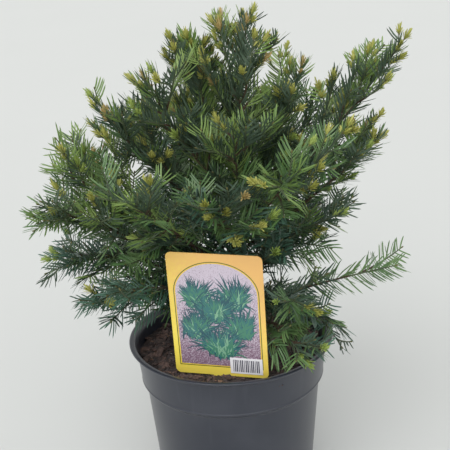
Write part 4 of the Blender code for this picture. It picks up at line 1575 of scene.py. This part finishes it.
@dataclass
class CompostBed:
    """The compost: a lumpy bed with bark chips, crumbs, fibres and a few pale grains on it."""

    rings: int = 64
    sides: int = 150
    gap: float = 0.0004
    lump: float = 0.0026
    mound: float = 0.0045
    chip_count: int = 560
    crumb_count: int = 1500
    fibre_count: int = 70
    grain_count: int = 14
    seed: int = 11
    soil: CrumbFinish = CrumbFinish("compost soil", 0.9, display(58, 50, 50), display(94, 82, 81))
    chip: CrumbFinish = CrumbFinish("bark chip", 0.8, display(78, 62, 58), display(116, 93, 86), 300.0)
    dark_chip: CrumbFinish = CrumbFinish("dark bark chip", 0.85, display(54, 46, 45), display(86, 72, 68), 300.0)
    fibre: CrumbFinish = CrumbFinish("root fibre", 0.8, display(128, 96, 76), display(160, 128, 104), 200.0)
    grain: CrumbFinish = CrumbFinish("pale grain", 0.8, display(190, 184, 172), display(214, 208, 196), 300.0)

    def height(self, x: float, y: float) -> float:
        """Return the height of the bed's surface at a place."""
        broad = noise.noise(Vector((38 * x, 38 * y, 1.7)))
        fine = noise.noise(Vector((150 * x, 150 * y, 5.2)))
        tiny = noise.noise(Vector((420 * x, 420 * y, 9.1)))
        along = math.cos(CARD.turn) * (x - CARD.foot[0]) + math.sin(CARD.turn) * (y - CARD.foot[1])
        across = math.cos(CARD.turn) * (y - CARD.foot[1]) - math.sin(CARD.turn) * (x - CARD.foot[0])
        mound = self.mound * math.exp(-(along / 0.030) ** 2 - (across / 0.014) ** 2)
        return POT.compost_top + mound + self.lump * (0.55 * broad + 0.35 * fine + 0.16 * tiny)

    def bed(self) -> bpy.types.Object:
        """Make the bed, which fills the pot.

        Returns:
            The piece.
        """
        wall = [(POT.inner_radius(height) - self.gap, height)
                for height in (POT.floor + self.gap, 0.06, POT.body_top, POT.ledge_top, 0.130, 0.1375)]
        edge = POT.inner_radius(POT.compost_top) - self.gap
        top = [(edge * (1 - step / self.rings), POT.compost_top) for step in range(self.rings)]
        points, faces = lathe(wall + top, self.sides, wall[0][1], POT.compost_top)
        first = len(wall) * self.sides
        for index in (*range(first, len(points) - 2), len(points) - 1):
            points[index][2] = self.height(points[index][0], points[index][1])
        heap = Heap()
        heap.add(points, faces)
        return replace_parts(heap.piece("compost_bed", (self.soil,), "compost", 70), "compost")

    def scattered(self, count: int, chance: np.random.Generator, lift: float) -> np.ndarray:
        """Return places strewn over the bed.

        Args:
            count: How many.
            chance: The source of chance.
            lift: How far they stand above the surface.

        Returns:
            The places.
        """
        far = (POT.inner_radius(POT.compost_top) - 0.003) * np.sqrt(chance.uniform(0.02, 1.0, count))
        turn = chance.uniform(0, math.tau, count)
        x, y = far * np.cos(turn), far * np.sin(turn)
        return np.array([(a, b, self.height(a, b) + lift) for a, b in zip(x, y)])

    def chips(self, name: str, count: int, sizes: tuple[float, float, float], finish: CrumbFinish, seed: int) -> None:
        """Strew flat angular chips over the bed.

        Args:
            name: The piece's name.
            count: How many.
            sizes: The usual half length, half width and half thickness.
            finish: Their finish.
            seed: The seed of their places.
        """
        chance = np.random.default_rng(seed)
        corners = np.array([(x, y, z) for x in (-1, 1) for y in (-1, 1) for z in (-1, 1)], float)
        faces = np.array(((0, 1, 3), (0, 3, 2), (4, 6, 7), (4, 7, 5), (0, 4, 5), (0, 5, 1),
                          (2, 3, 7), (2, 7, 6), (0, 2, 6), (0, 6, 4), (1, 5, 7), (1, 7, 3)))
        shapes = corners[None] * chance.uniform(0.45, 1.1, (count, 8, 3)) * np.array(sizes)
        shapes *= chance.lognormal(0, 0.38, (count, 1, 1)) * np.array((1.0, 0.8, 0.8))
        turned = np.empty_like(shapes)
        places = self.scattered(count, chance, 0.3 * sizes[2])
        for index in range(count):
            tilt = Matrix.Rotation(chance.uniform(0, math.tau), 3, "Z") @ Matrix.Rotation(chance.normal(0, 0.35), 3, "X")
            tilt = tilt @ Matrix.Rotation(chance.normal(0, 0.3), 3, "Y")
            turned[index] = shapes[index] @ np.array(tilt).T + places[index]
        heap = Heap()
        heap.add_copies(turned, faces)
        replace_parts(heap.piece(name, (finish,), "compost", 20), "compost")

    def fibres(self) -> None:
        """Lay thin bent root fibres on the bed."""
        chance = np.random.default_rng(self.seed + 5)
        heap = Heap()
        for place in self.scattered(self.fibre_count, chance, 0.0006):
            heading = chance.uniform(0, math.tau)
            line = [place]
            for _ in range(int(chance.integers(4, 9))):
                heading += chance.normal(0, 0.5)
                x, y = line[-1][0] + 0.003 * math.cos(heading), line[-1][1] + 0.003 * math.sin(heading)
                if math.hypot(x, y) > POT.inner_radius(POT.compost_top) - 0.003:
                    break
                line.append(np.array((x, y, self.height(x, y) + 0.0007)))
            if len(line) > 3:
                points, faces, _ = tube(np.array(line), np.linspace(0.00045, 0.0002, len(line)), 5)
                heap.add(points, faces)
        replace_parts(heap.piece("root_fibres", (self.fibre,), "compost"), "compost")

    def build(self) -> None:
        """Make the bed and all that lies on it."""
        self.bed()
        self.chips("bark_chips", self.chip_count, (0.0042, 0.0021, 0.0009), self.chip, self.seed)
        self.chips("dark_bark_chips", self.chip_count, (0.0036, 0.0020, 0.0010), self.dark_chip, self.seed + 1)
        self.chips("soil_crumbs", self.crumb_count, (0.0011, 0.0010, 0.0008), self.soil, self.seed + 2)
        self.chips("pale_grains", self.grain_count, (0.0010, 0.0009, 0.0008), self.grain, self.seed + 3)
        self.fibres()


@dataclass(frozen=True)
class Tussock:
    """A printed clump of grass-like leaves: its foot on the card, its reach and its count of leaves."""

    x: float
    z: float
    reach: float
    count: int


@dataclass
class PlantLabel:
    """The plant label: a card on a stake, printed with tussocks on gravel in an arched window."""

    film: float = 0.00004
    window_inset: float = 0.0062
    window_foot: float = 0.0105
    window_top: float = 0.1150
    window_arch: float = 0.0300
    patch_size: tuple[float, float] = (0.030, 0.0165)
    patch_place: tuple[float, float] = (0.0235, 0.0118)
    bar_count: int = 15
    seed: int = 21
    tussocks: tuple[Tussock, ...] = (
        Tussock(-0.020, 0.072, 0.034, 230), Tussock(0.018, 0.072, 0.034, 230), Tussock(-0.002, 0.058, 0.034, 230),
        Tussock(0.022, 0.042, 0.034, 230), Tussock(-0.022, 0.040, 0.034, 230), Tussock(0.001, 0.022, 0.036, 260),
    )
    card: PrintFinish = PrintFinish("label card print", 0.35, display(247, 224, 92), display(238, 186, 112),
                                    300.0, 0.04, (5.0, 0.0, 7.0), 1.45)
    line: PrintFinish = PrintFinish("label line print", 0.35, display(70, 84, 38), display(92, 104, 44))
    rule: PrintFinish = PrintFinish("label rule print", 0.35, display(244, 226, 70), display(236, 196, 80))
    ground: PrintFinish = PrintFinish("label ground print", 0.35, display(206, 194, 208), display(128, 100, 120),
                                      1000.0, 0.30, (0.0, 0.0, -9.0), -1.75)
    leaves: tuple[PrintFinish, ...] = (
        PrintFinish("label shade leaves print", 0.35, display(26, 60, 88), display(40, 84, 94)),
        PrintFinish("label blue leaves print", 0.35, display(34, 88, 116), display(54, 112, 112)),
        PrintFinish("label green leaves print", 0.35, display(42, 100, 98), display(70, 128, 104)),
        PrintFinish("label pale leaves print", 0.35, display(92, 146, 134), display(126, 172, 142)),
    )
    patch: PrintFinish = PrintFinish("label patch print", 0.4, display(232, 230, 236), display(240, 238, 242))
    bars: PrintFinish = PrintFinish("label bars print", 0.4, display(44, 44, 58), display(62, 62, 80))

    def outline(self) -> list[tuple[float, float]]:
        """Return the outline of the card and its stake, as (x, z) points."""
        half = CARD.stake_width / 2
        low = CARD.stake_point - CARD.stake_length
        points = [(-half, low), (0.0, -CARD.stake_length), (half, low), (half, 0.0)]
        for side, high, first in ((1, 0, -90), (1, 1, 0), (-1, 1, 90), (-1, 0, 180)):
            x = side * (CARD.width / 2 - CARD.corner)
            z = CARD.height - CARD.corner if high else CARD.corner
            for step in range(9):
                angle = math.radians(first + 90 * step / 8)
                points.append((x + CARD.corner * math.cos(angle), z + CARD.corner * math.sin(angle)))
        return points + [(-half, 0.0)]

    def window(self, spare: float) -> list[tuple[float, float]]:
        """Return the outline of the arched window, made larger by spare on each side."""
        half = self.limit + spare
        shoulder = self.window_top - self.window_arch
        arch = [(half * math.cos(a), shoulder + (self.window_arch + spare) * math.sin(a))
                for a in np.linspace(0, math.pi, 33)]
        return [(-half, self.window_foot - spare), (half, self.window_foot - spare)] + arch

    @property
    def limit(self) -> float:
        """Return how far the window reaches from the card's middle line."""
        return CARD.width / 2 - self.window_inset

    def leaf(self, tussock: Tussock, share: float, chance: random.Random) -> list[tuple[float, float]]:
        """Return the outline of one leaf, which springs from a tussock's foot and bends outward.

        Args:
            tussock: The tussock.
            share: 0 for the longest leaves at the back, and 1 for the shortest in front.
            chance: The source of chance.

        Returns:
            The outline's (x, z) points.
        """
        lean = chance.gauss(0, 0.75)
        reach = tussock.reach * (1 - 0.45 * share) * chance.uniform(0.6, 1.05)
        width = 0.0015 * chance.uniform(0.7, 1.2)
        root = (tussock.x + chance.gauss(0, 0.12 * tussock.reach), tussock.z + chance.gauss(0, 0.05 * tussock.reach))
        middle, left, right = np.array(root), [], []
        for step in range(5):
            bend = lean * (0.55 + 0.9 * step / 4)
            way = np.array((math.sin(bend), math.cos(bend)))
            half = width * math.sin(math.pi * (0.22 + 0.76 * step / 4)) / 2
            left.append(tuple(middle - half * np.array((way[1], -way[0]))))
            right.append(tuple(middle + half * np.array((way[1], -way[0]))))
            middle = middle + way * reach / 4
        return right + left[::-1]

    def plate(self, name: str, outlines: Sequence[list[tuple[float, float]]], front: float | Sequence[float],
              depth: float, finish: PrintFinish) -> None:
        """Make flat plates in the card's plane as one piece.

        Args:
            name: The piece's name.
            outlines: The outline of each plate, as (x, z) points.
            front: How far the front faces stand before the card's middle plane, for all or for each.
            depth: The plates' thickness.
            finish: Their finish.
        """
        shape = bmesh.new()
        for outline, ahead in zip(outlines, np.broadcast_to(front, len(outlines))):
            near = [shape.verts.new((x, -ahead, z)) for x, z in outline]
            far = [shape.verts.new((x, depth - ahead, z)) for x, z in outline]
            shape.faces.new(near)
            shape.faces.new(list(reversed(far)))
            for index in range(len(outline)):
                after = (index + 1) % len(outline)
                shape.faces.new((near[index], far[index], far[after], near[after]))
        bmesh.ops.recalc_face_normals(shape, faces=shape.faces)
        bmesh.ops.triangulate(shape, faces=shape.faces)
        shape.transform(CARD.matrix())
        mesh = bpy.data.meshes.new(name)
        shape.to_mesh(mesh)
        shape.free()
        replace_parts(as_piece(name, mesh, (finish,), 30), "label")

    def layer(self, name: str, outlines: Sequence[list[tuple[float, float]]], level: int,
              finish: PrintFinish) -> None:
        """Print one layer on the card's face, as many film thicknesses proud as its level."""
        self.plate(name, outlines, CARD.thickness / 2 + self.film * level, self.film * (level + 1), finish)

    def print_leaves(self, level: int) -> None:
        """Print the tussocks, each leaf a hair in front of the last.

        Args:
            level: How many film thicknesses the hindmost leaf stands proud of the card.
        """
        chance = random.Random(self.seed)
        tints = len(self.leaves)
        sheets: list[list[tuple[list[tuple[float, float]], float]]] = [[] for _ in range(tints)]
        for row, tussock in enumerate(self.tussocks):
            for number in range(tussock.count):
                share = number / tussock.count
                outline = self.leaf(tussock, share, chance)
                if all(self.inside(x, z) for x, z in outline):
                    tint = min(tints - 1, max(0, round((tints - 1) * share + chance.gauss(-0.9, 0.7))))
                    sheets[tint].append((outline, level + row + share))
        for tint, (sheet, finish) in enumerate(zip(sheets, self.leaves)):
            fronts = [CARD.thickness / 2 + self.film * place for _, place in sheet]
            self.plate(f"label_leaves_{tint + 1}", [outline for outline, _ in sheet], fronts, self.film, finish)

    def inside(self, x: float, z: float) -> bool:
        """Say whether a point lies in the window."""
        shoulder = self.window_top - self.window_arch
        if z < self.window_foot + 0.0006 or abs(x) > self.limit - 0.0006:
            return False
        return z < shoulder or math.hypot(x / self.limit, (z - shoulder) / self.window_arch) < 0.98

    def build(self) -> None:
        """Make the card and print its face."""
        self.plate("label_card", [self.outline()], CARD.thickness / 2, CARD.thickness, self.card)
        self.layer("label_frame_line", [self.window(0.0018)], 1, self.line)
        self.layer("label_frame_rule", [self.window(0.0010)], 2, self.rule)
        self.layer("label_ground", [self.window(0.0)], 3, self.ground)
        self.print_leaves(5)
        (width, height), (x, z) = self.patch_size, self.patch_place
        self.layer("label_patch", [self.block(x, z, width, height)], 14, self.patch)
        pitch = 0.84 * width / self.bar_count
        bars = [self.block(x - 0.42 * width + pitch * (bar + 0.4), z, pitch * (0.62 if bar % 3 else 0.34), 0.76 * height)
                for bar in range(self.bar_count)]
        self.layer("label_bars", bars, 15, self.bars)

    @staticmethod
    def block(x: float, z: float, width: float, height: float) -> list[tuple[float, float]]:
        """Return the outline of an upright block about a place on the card."""
        return [(x - width / 2, z - height / 2), (x + width / 2, z - height / 2),
                (x + width / 2, z + height / 2), (x - width / 2, z + height / 2)]


@dataclass
class Studio:
    """The pale floor, the soft lights and the camera."""

    floor_radius: float = 9.0
    pitch: float = math.radians(21.5)
    roll: float = math.radians(3.04)
    focal_pixels: float = 1062.0
    image_pixels: float = 450.0
    sensor: float = 36.0
    sky: Colour = (0.76, 0.77, 0.76)
    sky_strength: float = 1.0
    floor_finish: FloorFinish = FloorFinish("studio floor", 0.9, (0.66, 0.67, 0.66), (0.645, 0.655, 0.645))

    def floor(self) -> None:
        """Lay the floor."""
        mesh = bpy.data.meshes.new("floor")
        corners = [(self.floor_radius * math.cos(a), self.floor_radius * math.sin(a), 0.0)
                   for a in np.linspace(0, math.tau, 72, endpoint=False)]
        mesh.from_pydata(corners, [], [list(range(len(corners)))])
        mesh.materials.append(self.floor_finish.material())
        floor = bpy.data.objects.new("floor", mesh)
        bpy.context.scene.collection.objects.link(floor)

    def lamp(self, name: str, place: tuple[float, float, float], spread: float, power: float) -> None:
        """Hang one far, soft lamp that shines on the crown.

        Args:
            name: The lamp's name.
            place: Where it hangs.
            spread: The angle in degrees that it fills as seen from the plant.
            power: Its power.
        """
        data = bpy.data.lights.new(name, "SUN")
        data.angle = math.radians(spread)
        data.energy = power
        lamp = bpy.data.objects.new(name, data)
        lamp.location = place
        lamp.rotation_mode = "QUATERNION"
        lamp.rotation_quaternion = (Vector((0, 0, 0.25)) - Vector(place)).to_track_quat("-Z", "Y")
        bpy.context.scene.collection.objects.link(lamp)

    def camera(self) -> None:
        """Set up the camera at the photograph's place and viewing angle."""
        data = bpy.data.cameras.new("camera")
        data.sensor_width = self.sensor
        data.lens = self.sensor * self.focal_pixels / self.image_pixels
        data.clip_end = 100.0
        camera = bpy.data.objects.new("camera", data)
        tilt = Matrix.Rotation(math.pi / 2 - self.pitch, 4, "X") @ Matrix.Rotation(-self.roll, 4, "Z")
        camera.matrix_world = Matrix.Translation(EYE) @ tilt
        bpy.context.scene.collection.objects.link(camera)
        bpy.context.scene.camera = camera

    def build(self) -> None:
        """Make the whole studio."""
        self.floor()
        world = bpy.data.worlds.new("studio")
        world.use_nodes = True
        graph = Graph(world.node_tree)
        backdrop = world.node_tree.nodes["Background"]
        graph.feed(backdrop.inputs["Color"], self.sky)
        graph.feed(backdrop.inputs["Strength"], self.sky_strength)
        bpy.context.scene.world = world
        self.lamp("key", (-0.8, -1.6, 2.2), 50, 1.25)
        self.lamp("front", (0.4, -2.0, 0.9), 70, 0.8)
        bpy.context.scene.view_settings.view_transform = "Standard"
        self.camera()


def write_sizes() -> None:
    """Update the view layer so the scene's layout is current."""
    bpy.context.view_layer.update()


def main() -> None:
    """Build the studio and then every part of the potted plant."""
    logging.basicConfig(level=logging.INFO, format="%(name)s: %(message)s")
    Studio().build()
    Pot().build()
    CompostBed().build()
    PlantLabel().build()
    Wood().build()
    crown = Crown()
    crown.grow()
    crown.build()
    write_sizes()


if __name__ == "__main__":
    main()
